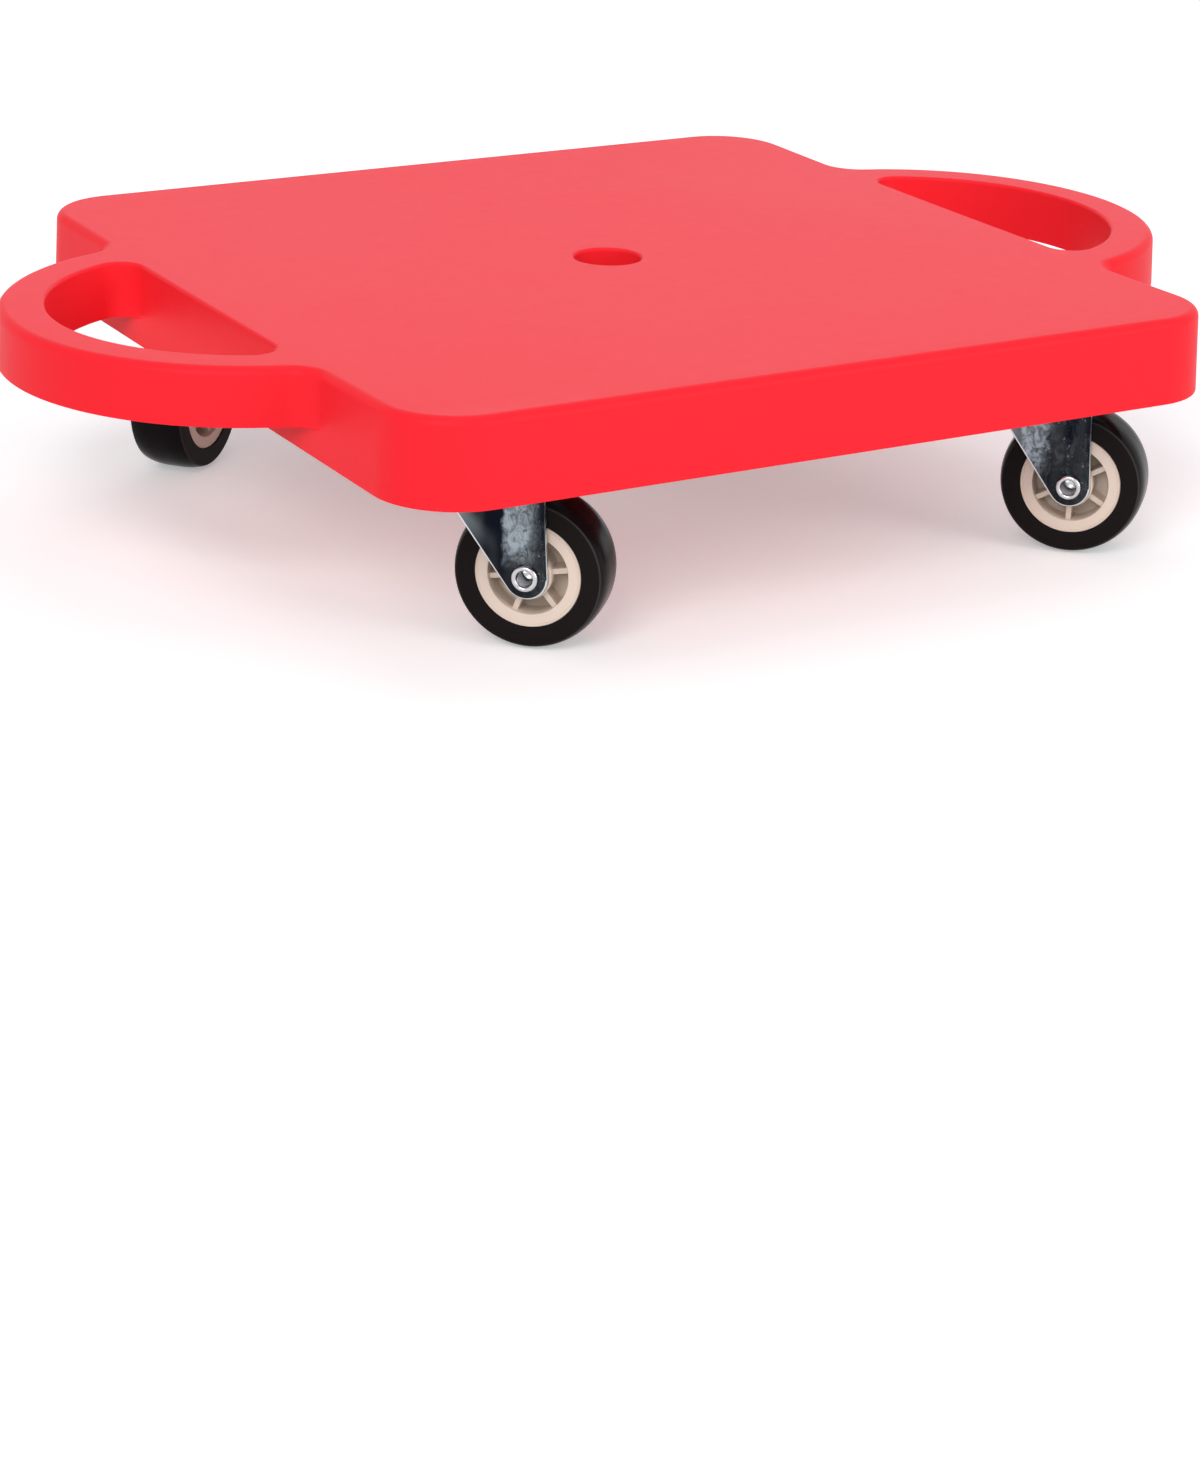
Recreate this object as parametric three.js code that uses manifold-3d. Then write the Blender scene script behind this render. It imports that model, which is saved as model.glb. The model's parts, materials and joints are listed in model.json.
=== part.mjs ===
// Four-wheel scooter board: a moulded plastic deck with a loop handle on each side, on four swivel casters.
// Millimetres, +Z up, the floor at z = 0, the handles along X, the origin under the middle of the deck.

import * as THREE from "three";
import { mergeVertices } from "three/addons/utils/BufferGeometryUtils.js";
import Module from "manifold-3d";

const wasm = await Module();
wasm.setup();

// Clearances and the lengths that only serve the modelling
const seatGap = 0.3;
const runningGap = 0.3;
const overrun = 2;
const weld = 0.001;
const seam = 0.05;

// Deck, measured at its foot and drafted inwards towards the top
const deckWidth = 309;
const deckHeight = 29;
const deckDraft = 1.6;
const deckCornerRadius = 25.8;
const edgeRound = 3;
const brimRound = 1.2;
const topWall = 3.4;
const sideWall = 3;
const holeRadius = 11.8;
const tubeWall = 3;

// Loop handles, round about a centre inside each side of the deck
const handleInset = 16.9;
const handleCentreX = deckWidth / 2 - handleInset;
const handleHeight = 19.2;
const handleRise = deckHeight - handleHeight;
const handleOuterRadius = 81.9;
const handleInnerRadius = 66.6;
const handleFillet = 12.5;
const handleRoot = 6;
const rootStep = 0.4;
const slotCornerRadius = 8.5;

// Ribs under the deck
const ribWidth = 2.4;
const ribRise = 8;
const middleRibOffset = 36;
const handleRibCount = 5;
const handleRibSpanDeg = 104;
const handleRibRise = 5;

// Caster pads under the deck
const casterInset = 48;
const casterX = deckWidth / 2 - casterInset;
const casterY = deckWidth / 2 - casterInset;
const padRecess = 4;
const padWall = 3;
const padRelief = 5;
const bossRadius = 5.2;
const pilotDepth = 13;

// Mounting plate and its screws
const plateWidth = 62;
const plateThickness = 2;
const plateCornerRadius = 6;
const plateLipRadius = 17.6;
const plateLipWall = 1.4;
const plateLipHeight = 2.2;
const screwInset = 8;
const screwSpacing = plateWidth - 2 * screwInset;
const screwRadius = 2.1;
const screwLength = 11;
const screwHeadRadius = 4;
const screwHeadHeight = 2.4;
const screwSlotWidth = 1.2;
const screwSlotDepth = 1.1;
const screwSlotLength = 4.4;

// Swivel bearing: balls in a cage round the king pin
const ballRadius = 2.4;
const ballCircleRadius = 11;
const ballCount = 8;
const cageWidth = 3.4;
const cageThickness = 1.3;
const kingPinRadius = 4;
const kingPinHeadRadius = 7;
const kingPinHeadHeight = 2;

// Fork
const sheet = 1.6;
const forkInnerWidth = 22;
const forkBendRadius = 4;
const crownRadius = 16.5;
const crownRimHeight = 1.8;
const crownRimWall = 1.2;
const legEndRadius = 7.2;
const legLead = 12.4;
const legTrail = 5.4;
const trail = 18.3;

// Axle: a tubular rivet with a domed head at one end and a rolled lip at the other
const axleRadius = 3.5;
const axleBoreRadius = 2.6;
const axleLipRadius = 4.3;
const axleLipLength = 1.3;
const axleHeadRadius = 6;
const axleHeadHeight = 2.2;
const axleBoreDepth = 7;
const axleBorePoint = 1.5;
const domeShares = [
  [0.45, 0.1],
  [0.82, 0.42],
];
const bushWall = 1.1;

// Wheel
const wheelRadius = 25;
const tyreWidth = 20;
const treadCrown = 1.4;
const treadPowerShare = 3.3;
const hubRadius = 17.3;
const hubWidth = 19.2;
const hubRimWall = 4.2;
const hubBossWall = 2.6;
const hubEndGap = 0.6;
const hubWeb = 2.4;
const hubRibCount = 6;
const hubRibWidth = 1.9;
const hubRibInset = 1.8;
const keyHeight = 1.5;
const keyWidth = 8;

// Resting heights, from the floor up
const axleZ = wheelRadius;
const deckBottomZ = 59;
const deckTopZ = deckBottomZ + deckHeight;
const plateTopZ = deckBottomZ + padRecess;
const plateBottomZ = plateTopZ - plateThickness;
const ballZ = plateBottomZ - seatGap - ballRadius;
const crownTopZ = ballZ - ballRadius - seatGap;
const crownBottomZ = crownTopZ - sheet;

// Number of straight steps in a full circle
const wheelSteps = 24;
const fineSteps = 12;
const roundSteps = 8;
const ballSteps = 6;
const ballRings = 4;

// Number of straight steps in an arc
const brimSteps = 3;
const cornerSteps = 5;
const filletSteps = 3;
const handleSteps = 20;
const slotSteps = 16;
const tipSteps = 4;
const bendSteps = 4;
const plateCornerSteps = 2;

// Angles in degrees
const quarterTurn = 90;
const halfTurn = 180;
const fullTurn = 360;

// Colour, roughness and metalness of each material
const finishes = {
  redPlastic: { color: 0xf5323c, roughness: 0.42, metalness: 0 },
  blackTyre: { color: 0x141214, roughness: 0.5, metalness: 0 },
  creamPlastic: { color: 0xdcc3ae, roughness: 0.5, metalness: 0 },
  polishedSteel: { color: 0xc4c6c8, roughness: 0.2, metalness: 1 },
  plainSteel: { color: 0xa9abad, roughness: 0.34, metalness: 1 },
};

const material = (name) => new THREE.MeshStandardMaterial(finishes[name]);
const radians = THREE.MathUtils.degToRad;

// A closed geometry as a solid for joining and cutting
function solid(geometry) {
  const bare = new THREE.BufferGeometry();
  bare.setAttribute("position", geometry.getAttribute("position"));
  bare.setIndex(geometry.index);
  const welded = mergeVertices(bare, weld);
  return new wasm.Manifold(
    new wasm.Mesh({
      numProp: 3,
      vertProperties: new Float32Array(welded.attributes.position.array),
      triVerts: new Uint32Array(welded.index.array),
    }),
  );
}

// A solid as a named mesh
function meshOf(name, shape, finish) {
  const data = shape.getMesh();
  const geometry = new THREE.BufferGeometry();
  geometry.setAttribute("position", new THREE.BufferAttribute(data.vertProperties, 3));
  geometry.setIndex(new THREE.BufferAttribute(data.triVerts, 1));
  const mesh = new THREE.Mesh(geometry.toNonIndexed(), material(finish));
  mesh.geometry.computeVertexNormals();
  mesh.name = name;
  return mesh;
}

const join = (shapes) => shapes.reduce((sum, shape) => sum.add(shape));

// A round bar about Z between two heights
function rod(radius, bottom, top, steps) {
  const bar = new THREE.CylinderGeometry(radius, radius, top - bottom, steps);
  bar.rotateX(Math.PI / 2);
  bar.translate(0, 0, (top + bottom) / 2);
  return solid(bar);
}

// A box from its middle in plan, its plan size and two heights
function block(x, y, width, depth, bottom, top) {
  const box = new THREE.BoxGeometry(width, depth, top - bottom);
  box.translate(x, y, (top + bottom) / 2);
  return solid(box);
}

// A profile of [radius, height] points turned about Z
function turned(profile, steps) {
  const points = profile.map(([radius, height]) => new THREE.Vector2(radius, height));
  const lathe = new THREE.LatheGeometry(points, steps);
  lathe.rotateX(Math.PI / 2);
  return solid(lathe);
}

// A plan outline raised between two heights
function raised(shape, bottom, top, steps) {
  const prism = new THREE.ExtrudeGeometry(shape, {
    depth: top - bottom,
    bevelEnabled: false,
    curveSegments: steps,
  });
  prism.translate(0, 0, bottom);
  return solid(prism);
}

// An arc of an outline. A growth of the outline widens a round corner and tightens a hollow one.
function arc(x, y, radius, fromDeg, toDeg, steps, hollow = false) {
  const point = (share, growth) => {
    const angle = radians(fromDeg + (toDeg - fromDeg) * share);
    const reach = hollow ? radius - growth : radius + growth;
    return [x + reach * Math.cos(angle), y + reach * Math.sin(angle)];
  };
  return (growth) => {
    const points = [];
    for (let i = 0; i <= steps; i++) points.push(point(i / steps, growth));
    return points;
  };
}

const outlineAt = (arcs, growth) => arcs.flatMap((piece) => piece(growth));

// A solid through one outline that grows or shrinks from level to level
function lofted(arcs, levels) {
  const rings = levels.map(({ z, growth }) => outlineAt(arcs, growth).map(([x, y]) => [x, y, z]));
  const count = rings[0].length;
  const index = [];
  for (let level = 0; level < rings.length - 1; level++) {
    for (let i = 0; i < count; i++) {
      const a = level * count + i;
      const b = level * count + ((i + 1) % count);
      index.push(a, b, b + count, a, b + count, a + count);
    }
  }
  const flat = outlineAt(arcs, levels[0].growth).map(([x, y]) => new THREE.Vector2(x, y));
  const last = (rings.length - 1) * count;
  for (const [a, b, c] of THREE.ShapeUtils.triangulateShape(flat, [])) {
    index.push(a, c, b);
    index.push(last + a, last + b, last + c);
  }
  const geometry = new THREE.BufferGeometry();
  geometry.setAttribute("position", new THREE.Float32BufferAttribute(rings.flat(2), 3));
  geometry.setIndex(index);
  return solid(geometry);
}

// Plan of the deck without its handles, at the sharp top edge
const topHalf = deckWidth / 2 - deckDraft;

function deckArcs() {
  const cornerAt = topHalf - deckCornerRadius;
  const corner = (x, y, from) => arc(x, y, deckCornerRadius, from, from + quarterTurn, cornerSteps);
  return [
    corner(cornerAt, -cornerAt, -quarterTurn),
    corner(cornerAt, cornerAt, 0),
    corner(-cornerAt, cornerAt, quarterTurn),
    corner(-cornerAt, -cornerAt, halfTurn),
  ];
}

// Plan of the right handle, at the sharp top edge: a round loop, a hollow fillet at each end of it, and a root
// just inside the deck's side
const rootX = topHalf - seam;

function handleArcs() {
  const filletX = rootX + handleFillet;
  const filletY = Math.sqrt((handleOuterRadius + handleFillet) ** 2 - (filletX - handleCentreX) ** 2);
  const meetDeg = THREE.MathUtils.radToDeg(Math.atan2(filletY, filletX - handleCentreX));
  const root = (y, from) => arc(rootX - handleRoot, y, handleRoot, from, from + quarterTurn, tipSteps);
  const fillet = (y, from, to) => arc(filletX, y, handleFillet, from, to, filletSteps, true);
  return [
    root(-filletY, -quarterTurn),
    fillet(-filletY, halfTurn, halfTurn - meetDeg),
    arc(handleCentreX, 0, handleOuterRadius, -meetDeg, meetDeg, handleSteps),
    fillet(filletY, meetDeg - halfTurn, -halfTurn),
    root(filletY, 0),
  ];
}

// Plan of the right handle's slot, at the sharp top edge: straight at the deck's side, round at the loop
function slotArcs() {
  const cornerX = rootX + slotCornerRadius;
  const cornerY = Math.sqrt((handleInnerRadius - slotCornerRadius) ** 2 - (cornerX - handleCentreX) ** 2);
  const tipDeg = THREE.MathUtils.radToDeg(Math.atan2(cornerY, cornerX - handleCentreX));
  const corner = (y, from, to) => arc(cornerX, y, slotCornerRadius, from, to, tipSteps);
  return [
    corner(-cornerY, halfTurn, fullTurn - tipDeg),
    arc(handleCentreX, 0, handleInnerRadius, -tipDeg, tipDeg, slotSteps),
    corner(cornerY, tipDeg, halfTurn),
  ];
}

// Growth of an outline at a height above the deck's foot: the draft alone, without the top rounding
const draftAt = (height) => deckDraft * (1 - height / deckHeight);

// Levels of an outside that starts at a height above the deck's foot and is rounded over at the top
function outsideLevels(foot, round) {
  const levels = [{ z: deckBottomZ + foot, growth: draftAt(foot) }];
  for (let i = 0; i <= brimSteps; i++) {
    const angle = (Math.PI / 2) * (i / brimSteps);
    const height = deckHeight - round * (1 - Math.sin(angle));
    levels.push({ z: deckBottomZ + height, growth: draftAt(height) - round * (1 - Math.cos(angle)) });
  }
  return levels;
}

// Levels of a slot's cutter: the same draft and a smaller rounding, on the other side of the material
function slotLevels() {
  const levels = outsideLevels(handleRise, brimRound).map(({ z, growth }) => ({ z, growth: -growth }));
  const foot = levels[0];
  const brim = levels[levels.length - 1];
  levels.unshift({ z: foot.z - overrun, growth: foot.growth });
  levels.push({ z: deckTopZ + overrun, growth: brim.growth });
  return levels;
}

// A drafted solid between two heights above the deck's foot, a wall outside or inside an outline.
// A lean of -1 drafts it as a slot.
function drafted(arcs, bottom, top, wall, lean = 1) {
  const level = (height) => ({ z: deckBottomZ + height, growth: lean * draftAt(height) + wall });
  return lofted(arcs, [level(bottom), level(top)]);
}

// The same solid on both sides of the deck
const onBothSides = (shape) => shape.add(shape.rotate([0, 0, halfTurn]));

const ceiling = deckHeight - topWall;

// The hollow under the deck, one wall inside the outside and clear of the centre hole's tube
function deckHollow() {
  const tube = rod(holeRadius + tubeWall, deckBottomZ - overrun, deckTopZ, fineSteps);
  return drafted(deckArcs(), -overrun, ceiling, -sideWall).subtract(tube);
}

// The hollow under the right handle, one wall inside it and clear of the deck's side and the slot's wall
function handleHollow() {
  const low = handleRise - 2 * overrun;
  const high = ceiling + overrun;
  const deckSide = drafted(deckArcs(), low, high, rootStep);
  const slotWall = drafted(slotArcs(), low, high, sideWall, -1);
  const inside = drafted(handleArcs(), handleRise - overrun, ceiling, -sideWall);
  return inside.subtract(deckSide.add(slotWall));
}

// Ribs along the deck, ribs from pad to skirt, and ribs across the handles
function ribs() {
  const bottom = deckBottomZ + ribRise;
  const top = deckTopZ - topWall / 2;
  const padHalf = plateWidth / 2 + padWall / 2;
  const reach = 2 * topHalf - sideWall;
  const bars = [onBothSides(handleRibs(top))];
  for (const place of [-middleRibOffset, 0, middleRibOffset]) {
    bars.push(block(0, place, reach, ribWidth, bottom, top));
    bars.push(block(place, 0, ribWidth, reach, bottom, top));
  }
  for (const side of [-1, 1]) {
    bars.push(block(0, side * (casterY - padHalf), reach, ribWidth, bottom, top));
    bars.push(block(side * (casterX - padHalf), 0, ribWidth, reach, bottom, top));
  }
  return join(bars);
}

// Ribs across the right handle, from wall to wall
function handleRibs(top) {
  const bottom = deckBottomZ + handleRise + handleRibRise;
  const length = handleOuterRadius - handleInnerRadius - sideWall;
  const bars = [];
  for (let i = 0; i < handleRibCount; i++) {
    const share = i / (handleRibCount - 1) - 0.5;
    const bar = new THREE.BoxGeometry(length, ribWidth, top - bottom);
    bar.translate((handleOuterRadius + handleInnerRadius) / 2, 0, (top + bottom) / 2);
    bar.rotateZ(radians(share * handleRibSpanDeg));
    bar.translate(handleCentreX, 0, 0);
    bars.push(solid(bar));
  }
  return join(bars);
}

const screwPlaces = [
  [1, -1],
  [1, 1],
  [-1, 1],
  [-1, -1],
].map(([x, y]) => [(x * screwSpacing) / 2, (y * screwSpacing) / 2]);

// The pad that one caster is screwed to: a square frame, four screw bosses and a raised cross between them
function pad(x, y) {
  const outer = plateWidth + 2 * padWall;
  const inner = plateWidth;
  const top = deckTopZ - topWall / 2;
  const wall = block(x, y, outer, outer, plateTopZ, top);
  const room = block(x, y, inner - padWall, inner - padWall, plateTopZ - overrun, top + overrun);
  const bosses = screwPlaces.map(([dx, dy]) =>
    rod(bossRadius, plateTopZ, top, roundSteps).translate(x + dx, y + dy, 0),
  );
  const cross = [
    block(x, y, inner, ribWidth, plateTopZ + padRelief, top),
    block(x, y, ribWidth, inner, plateTopZ + padRelief, top),
  ];
  return join([wall.subtract(room), ...bosses, ...cross]);
}

function pilots(x, y) {
  const radius = screwRadius + seatGap / 2;
  return screwPlaces.map(([dx, dy]) =>
    rod(radius, plateTopZ - overrun, plateTopZ + pilotDepth, roundSteps).translate(x + dx, y + dy, 0),
  );
}

// The centre hole, with its brim rounded over
function centreHole() {
  const profile = [
    [0, deckBottomZ - overrun],
    [holeRadius, deckBottomZ - overrun],
  ];
  for (let i = 0; i <= brimSteps; i++) {
    const angle = (Math.PI / 2) * (i / brimSteps);
    profile.push([
      holeRadius + brimRound * (1 - Math.cos(angle)),
      deckTopZ - brimRound * (1 - Math.sin(angle)),
    ]);
  }
  profile.push([holeRadius + brimRound, deckTopZ + overrun]);
  profile.push([0, deckTopZ + overrun]);
  return turned(profile, wheelSteps);
}

const casters = [
  { name: "front_left", x: -casterX, y: -casterY, swivelDeg: -44.3 },
  { name: "front_right", x: casterX, y: -casterY, swivelDeg: -46.5 },
  { name: "rear_left", x: -casterX, y: casterY, swivelDeg: 219.7 },
  { name: "rear_right", x: casterX, y: casterY, swivelDeg: -30 },
];

// A loop handle whose root reaches into the deck's side
function handle() {
  const loop = lofted(handleArcs(), outsideLevels(handleRise, edgeRound));
  return loop.subtract(lofted(slotArcs(), slotLevels()));
}

function deck() {
  const outside = lofted(deckArcs(), outsideLevels(0, edgeRound)).add(onBothSides(handle()));
  const hollows = deckHollow().add(onBothSides(handleHollow()));
  const inside = join([ribs(), ...casters.map(({ x, y }) => pad(x, y))]).intersect(outside);
  const cuts = [centreHole()];
  for (const { x, y } of casters) cuts.push(...pilots(x, y));
  return outside.subtract(hollows).add(inside).subtract(join(cuts));
}

// A pressed plate with four screw holes, a hole for the king pin and a lip round the balls
function mountingPlate() {
  const half = plateWidth / 2;
  const r = plateCornerRadius;
  const plan = new THREE.Shape();
  plan.absarc(half - r, -half + r, r, -Math.PI / 2, 0);
  plan.absarc(half - r, half - r, r, 0, Math.PI / 2);
  plan.absarc(-half + r, half - r, r, Math.PI / 2, Math.PI);
  plan.absarc(-half + r, -half + r, r, Math.PI, (Math.PI * 3) / 2);
  const plate = raised(plan, plateBottomZ, plateTopZ, plateCornerSteps);
  const lip = turned(
    [
      [plateLipRadius - plateLipWall, plateBottomZ - plateLipHeight],
      [plateLipRadius, plateBottomZ - plateLipHeight],
      [plateLipRadius + plateLipWall, plateBottomZ + plateThickness / 2],
      [plateLipRadius - plateLipWall, plateBottomZ + plateThickness / 2],
      [plateLipRadius - plateLipWall, plateBottomZ - plateLipHeight],
    ],
    fineSteps,
  );
  const holes = screwPlaces.map(([x, y]) =>
    rod(screwRadius + seatGap, plateBottomZ - overrun, plateTopZ + overrun, roundSteps).translate(x, y, 0),
  );
  const pinHole = rod(kingPinRadius + seatGap, plateBottomZ - overrun, plateTopZ + overrun, fineSteps);
  return plate.add(lip).subtract(join([pinHole, ...holes]));
}

// A pan-head screw driven up through the plate, with a cross recess in its head
function mountingScrew() {
  const headTop = plateBottomZ;
  const headFoot = headTop - screwHeadHeight;
  const screw = turned(
    [
      [0, headFoot],
      [screwHeadRadius * 0.7, headFoot],
      [screwHeadRadius, headTop],
      [screwRadius, headTop],
      [screwRadius, headTop + screwLength - screwRadius],
      [0, headTop + screwLength],
    ],
    roundSteps,
  );
  const recess = (width, depth) => block(0, 0, width, depth, headFoot - overrun, headFoot + screwSlotDepth);
  const cross = recess(screwSlotLength, screwSlotWidth).add(recess(screwSlotWidth, screwSlotLength));
  return screw.subtract(cross);
}

// Balls held in a flat cage
function ballCage() {
  const half = cageWidth / 2;
  const low = ballZ - cageThickness / 2;
  const high = ballZ + cageThickness / 2;
  const ring = turned(
    [
      [ballCircleRadius - half, low],
      [ballCircleRadius + half, low],
      [ballCircleRadius + half, high],
      [ballCircleRadius - half, high],
      [ballCircleRadius - half, low],
    ],
    ballCount,
  );
  const balls = [];
  for (let i = 0; i < ballCount; i++) {
    const ball = new THREE.SphereGeometry(ballRadius, ballSteps, ballRings);
    ball.rotateX(Math.PI / 2);
    ball.translate(ballCircleRadius, 0, ballZ);
    ball.rotateZ((Math.PI * 2 * i) / ballCount);
    balls.push(solid(ball));
  }
  return join([ring, ...balls]);
}

// The rivet that ties the fork to the plate
function kingPin() {
  const footTop = crownBottomZ - runningGap;
  const foot = footTop - kingPinHeadHeight;
  const headTop = plateTopZ + kingPinHeadHeight;
  return turned(
    [
      [0, foot],
      [kingPinHeadRadius * 0.75, foot],
      [kingPinHeadRadius, foot + kingPinHeadHeight * 0.5],
      [kingPinHeadRadius, footTop],
      [kingPinRadius, footTop],
      [kingPinRadius, plateTopZ],
      [kingPinHeadRadius, plateTopZ],
      [kingPinHeadRadius, plateTopZ + kingPinHeadHeight * 0.5],
      [kingPinHeadRadius * 0.75, headTop],
      [0, headTop],
    ],
    fineSteps,
  );
}

const forkHalf = forkInnerWidth / 2 + sheet;

// The fork's side view: straight from its crown down to a round end about the axle
function forkSide() {
  const reachX = -legLead - trail;
  const reachZ = crownTopZ - axleZ;
  const distance = Math.hypot(reachX, reachZ);
  const tangent = Math.atan2(reachZ, reachX) + Math.acos(legEndRadius / distance);
  const side = new THREE.Shape();
  side.moveTo(trail + legTrail, crownTopZ);
  side.lineTo(-legLead, crownTopZ);
  side.absarc(trail, axleZ, legEndRadius, tangent, Math.PI * 2);
  const prism = new THREE.ExtrudeGeometry(side, {
    depth: 2 * (forkHalf + overrun),
    bevelEnabled: false,
    curveSegments: roundSteps,
  });
  prism.rotateX(Math.PI / 2);
  prism.translate(0, forkHalf + overrun, 0);
  return solid(prism);
}

// The fork's end view: an upside-down U of sheet steel with bent shoulders
function forkEnd() {
  const inner = forkHalf - sheet;
  const bend = forkBendRadius;
  const foot = axleZ - legEndRadius - overrun;
  const end = new THREE.Shape();
  end.moveTo(-forkHalf, foot);
  end.lineTo(-inner, foot);
  end.absarc(-inner + bend - sheet, crownTopZ - bend, bend - sheet, Math.PI, Math.PI / 2, true);
  end.absarc(inner - bend + sheet, crownTopZ - bend, bend - sheet, Math.PI / 2, 0, true);
  end.lineTo(inner, foot);
  end.lineTo(forkHalf, foot);
  end.absarc(forkHalf - bend, crownTopZ - bend, bend, 0, Math.PI / 2);
  end.absarc(-forkHalf + bend, crownTopZ - bend, bend, Math.PI / 2, Math.PI);
  const length = legLead + trail + legEndRadius + 2 * overrun;
  const prism = new THREE.ExtrudeGeometry(end, {
    depth: length,
    bevelEnabled: false,
    curveSegments: bendSteps,
  });
  prism.rotateX(Math.PI / 2);
  prism.rotateZ(Math.PI / 2);
  prism.translate(-legLead - overrun, 0, 0);
  return solid(prism);
}

// The fork's round crown, with an upturned rim round the balls
function forkCrown() {
  return turned(
    [
      [0, crownBottomZ],
      [crownRadius - sheet, crownBottomZ],
      [crownRadius, crownTopZ],
      [crownRadius, crownTopZ + crownRimHeight],
      [crownRadius - crownRimWall, crownTopZ + crownRimHeight],
      [crownRadius - crownRimWall, crownTopZ],
      [0, crownTopZ],
    ],
    fineSteps,
  );
}

function fork() {
  const pinHole = rod(kingPinRadius + runningGap, crownBottomZ - overrun, crownTopZ + overrun, fineSteps);
  const axleHole = acrossWheel(rod(axleRadius + seatGap, -forkHalf - overrun, forkHalf + overrun, fineSteps));
  return forkEnd().intersect(forkSide()).add(forkCrown()).subtract(pinHole).subtract(axleHole);
}

// Lays a piece that was turned about Z along the axle
const acrossWheel = (shape) => shape.rotate([90, 0, 0]).translate(trail, 0, axleZ);

function wheelAxle() {
  const seat = forkHalf + seatGap;
  const lipEnd = seat + axleLipLength;
  const headEnd = -seat - axleHeadHeight;
  const dome = domeShares.map(([across, down]) => [
    axleHeadRadius * across,
    headEnd + axleHeadHeight * down,
  ]);
  const profile = [
    [0, headEnd],
    ...dome,
    [axleHeadRadius, -seat],
    [axleRadius, -seat],
    [axleRadius, seat],
    [axleLipRadius, seat],
    [axleLipRadius, seat + axleLipLength * 0.6],
    [(axleLipRadius + axleBoreRadius) / 2, lipEnd],
    [axleBoreRadius, seat + axleLipLength * 0.6],
    [axleBoreRadius, seat - axleBoreDepth],
    [0, seat - axleBoreDepth - axleBorePoint],
  ];
  return acrossWheel(turned(profile, fineSteps));
}

const bushRadius = axleRadius + seatGap + bushWall;

function axleBush() {
  const half = forkInnerWidth / 2 - seatGap;
  const tube = rod(bushRadius, -half, half, fineSteps);
  return acrossWheel(tube.subtract(rod(axleRadius + seatGap, -half - overrun, half + overrun, fineSteps)));
}

// The plastic wheel centre: boss, web, rim with a keying bead, and spokes on both faces
function wheelHub() {
  const bore = bushRadius + runningGap;
  const boss = bore + hubBossWall;
  const bossHalf = forkInnerWidth / 2 - hubEndGap;
  const half = hubWidth / 2;
  const rimInner = hubRadius - hubRimWall;
  const face = [
    [bore, bossHalf],
    [boss, bossHalf],
    [boss, hubWeb / 2],
    [rimInner, hubWeb / 2],
    [rimInner, half],
    [hubRadius, half],
    [hubRadius, keyWidth / 2],
    [hubRadius + keyHeight, keyWidth / 2],
  ];
  const back = face.map(([radius, y]) => [radius, -y]);
  const body = turned([...back, ...face.reverse(), back[0]], wheelSteps);
  const spokes = [];
  for (let i = 0; i < hubRibCount; i++) {
    const length = rimInner - bore - hubBossWall / 2 + hubRimWall / 2;
    const spoke = new THREE.BoxGeometry(length, hubRibWidth, hubWidth - 2 * hubRibInset);
    spoke.translate(bore + hubBossWall / 2 + length / 2, 0, 0);
    spoke.rotateZ((Math.PI * 2 * i) / hubRibCount);
    spokes.push(solid(spoke));
  }
  return acrossWheel(join([body, ...spokes]));
}

// The tyre: a crowned tread over a grooved inside that fits the hub's bead
function tyre() {
  const half = tyreWidth / 2;
  const inner = hubRadius + seatGap;
  const groove = inner + keyHeight;
  const grooveHalf = keyWidth / 2 + seatGap;
  const tread = (share) => [wheelRadius - treadCrown * Math.abs(share) ** treadPowerShare, -half * share];
  const shares = [-1, -0.65, 0, 0.65, 1];
  const profile = [
    [inner, -half],
    ...shares.map((share) => tread(-share)),
    [inner, half],
    [inner, grooveHalf],
    [groove, grooveHalf],
    [groove, -grooveHalf],
    [inner, -grooveHalf],
    [inner, -half],
  ];
  return acrossWheel(turned(profile, wheelSteps));
}

// One caster: its plate, screws and king pin stay with the deck, the rest swivels about the king pin
function caster({ name, x, y, swivelDeg }) {
  const fixed = new THREE.Group();
  fixed.add(meshOf(`mounting_plate_${name}`, mountingPlate(), "plainSteel"));
  fixed.add(meshOf(`king_pin_${name}`, kingPin(), "plainSteel"));
  screwPlaces.forEach(([dx, dy], i) => {
    const screw = meshOf(`mounting_screw_${name}_${i + 1}`, mountingScrew(), "plainSteel");
    screw.position.set(dx, dy, 0);
    fixed.add(screw);
  });
  const swivel = new THREE.Group();
  swivel.rotation.z = radians(swivelDeg);
  swivel.add(meshOf(`ball_cage_${name}`, ballCage(), "plainSteel"));
  swivel.add(meshOf(`fork_${name}`, fork(), "polishedSteel"));
  swivel.add(meshOf(`wheel_axle_${name}`, wheelAxle(), "polishedSteel"));
  swivel.add(meshOf(`axle_bush_${name}`, axleBush(), "plainSteel"));
  swivel.add(meshOf(`wheel_hub_${name}`, wheelHub(), "creamPlastic"));
  swivel.add(meshOf(`tyre_${name}`, tyre(), "blackTyre"));
  const whole = new THREE.Group();
  whole.position.set(x, y, 0);
  whole.add(fixed, swivel);
  return whole;
}

const group = new THREE.Group();
group.name = "scooter_board";
group.add(meshOf("deck", deck(), "redPlastic"));
for (const place of casters) group.add(caster(place));

export default group;
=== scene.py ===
import json
import math

import bmesh
import bpy
from bpy.props import FloatProperty, FloatVectorProperty, IntProperty, PointerProperty
from mathutils import Matrix, Vector

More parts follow.
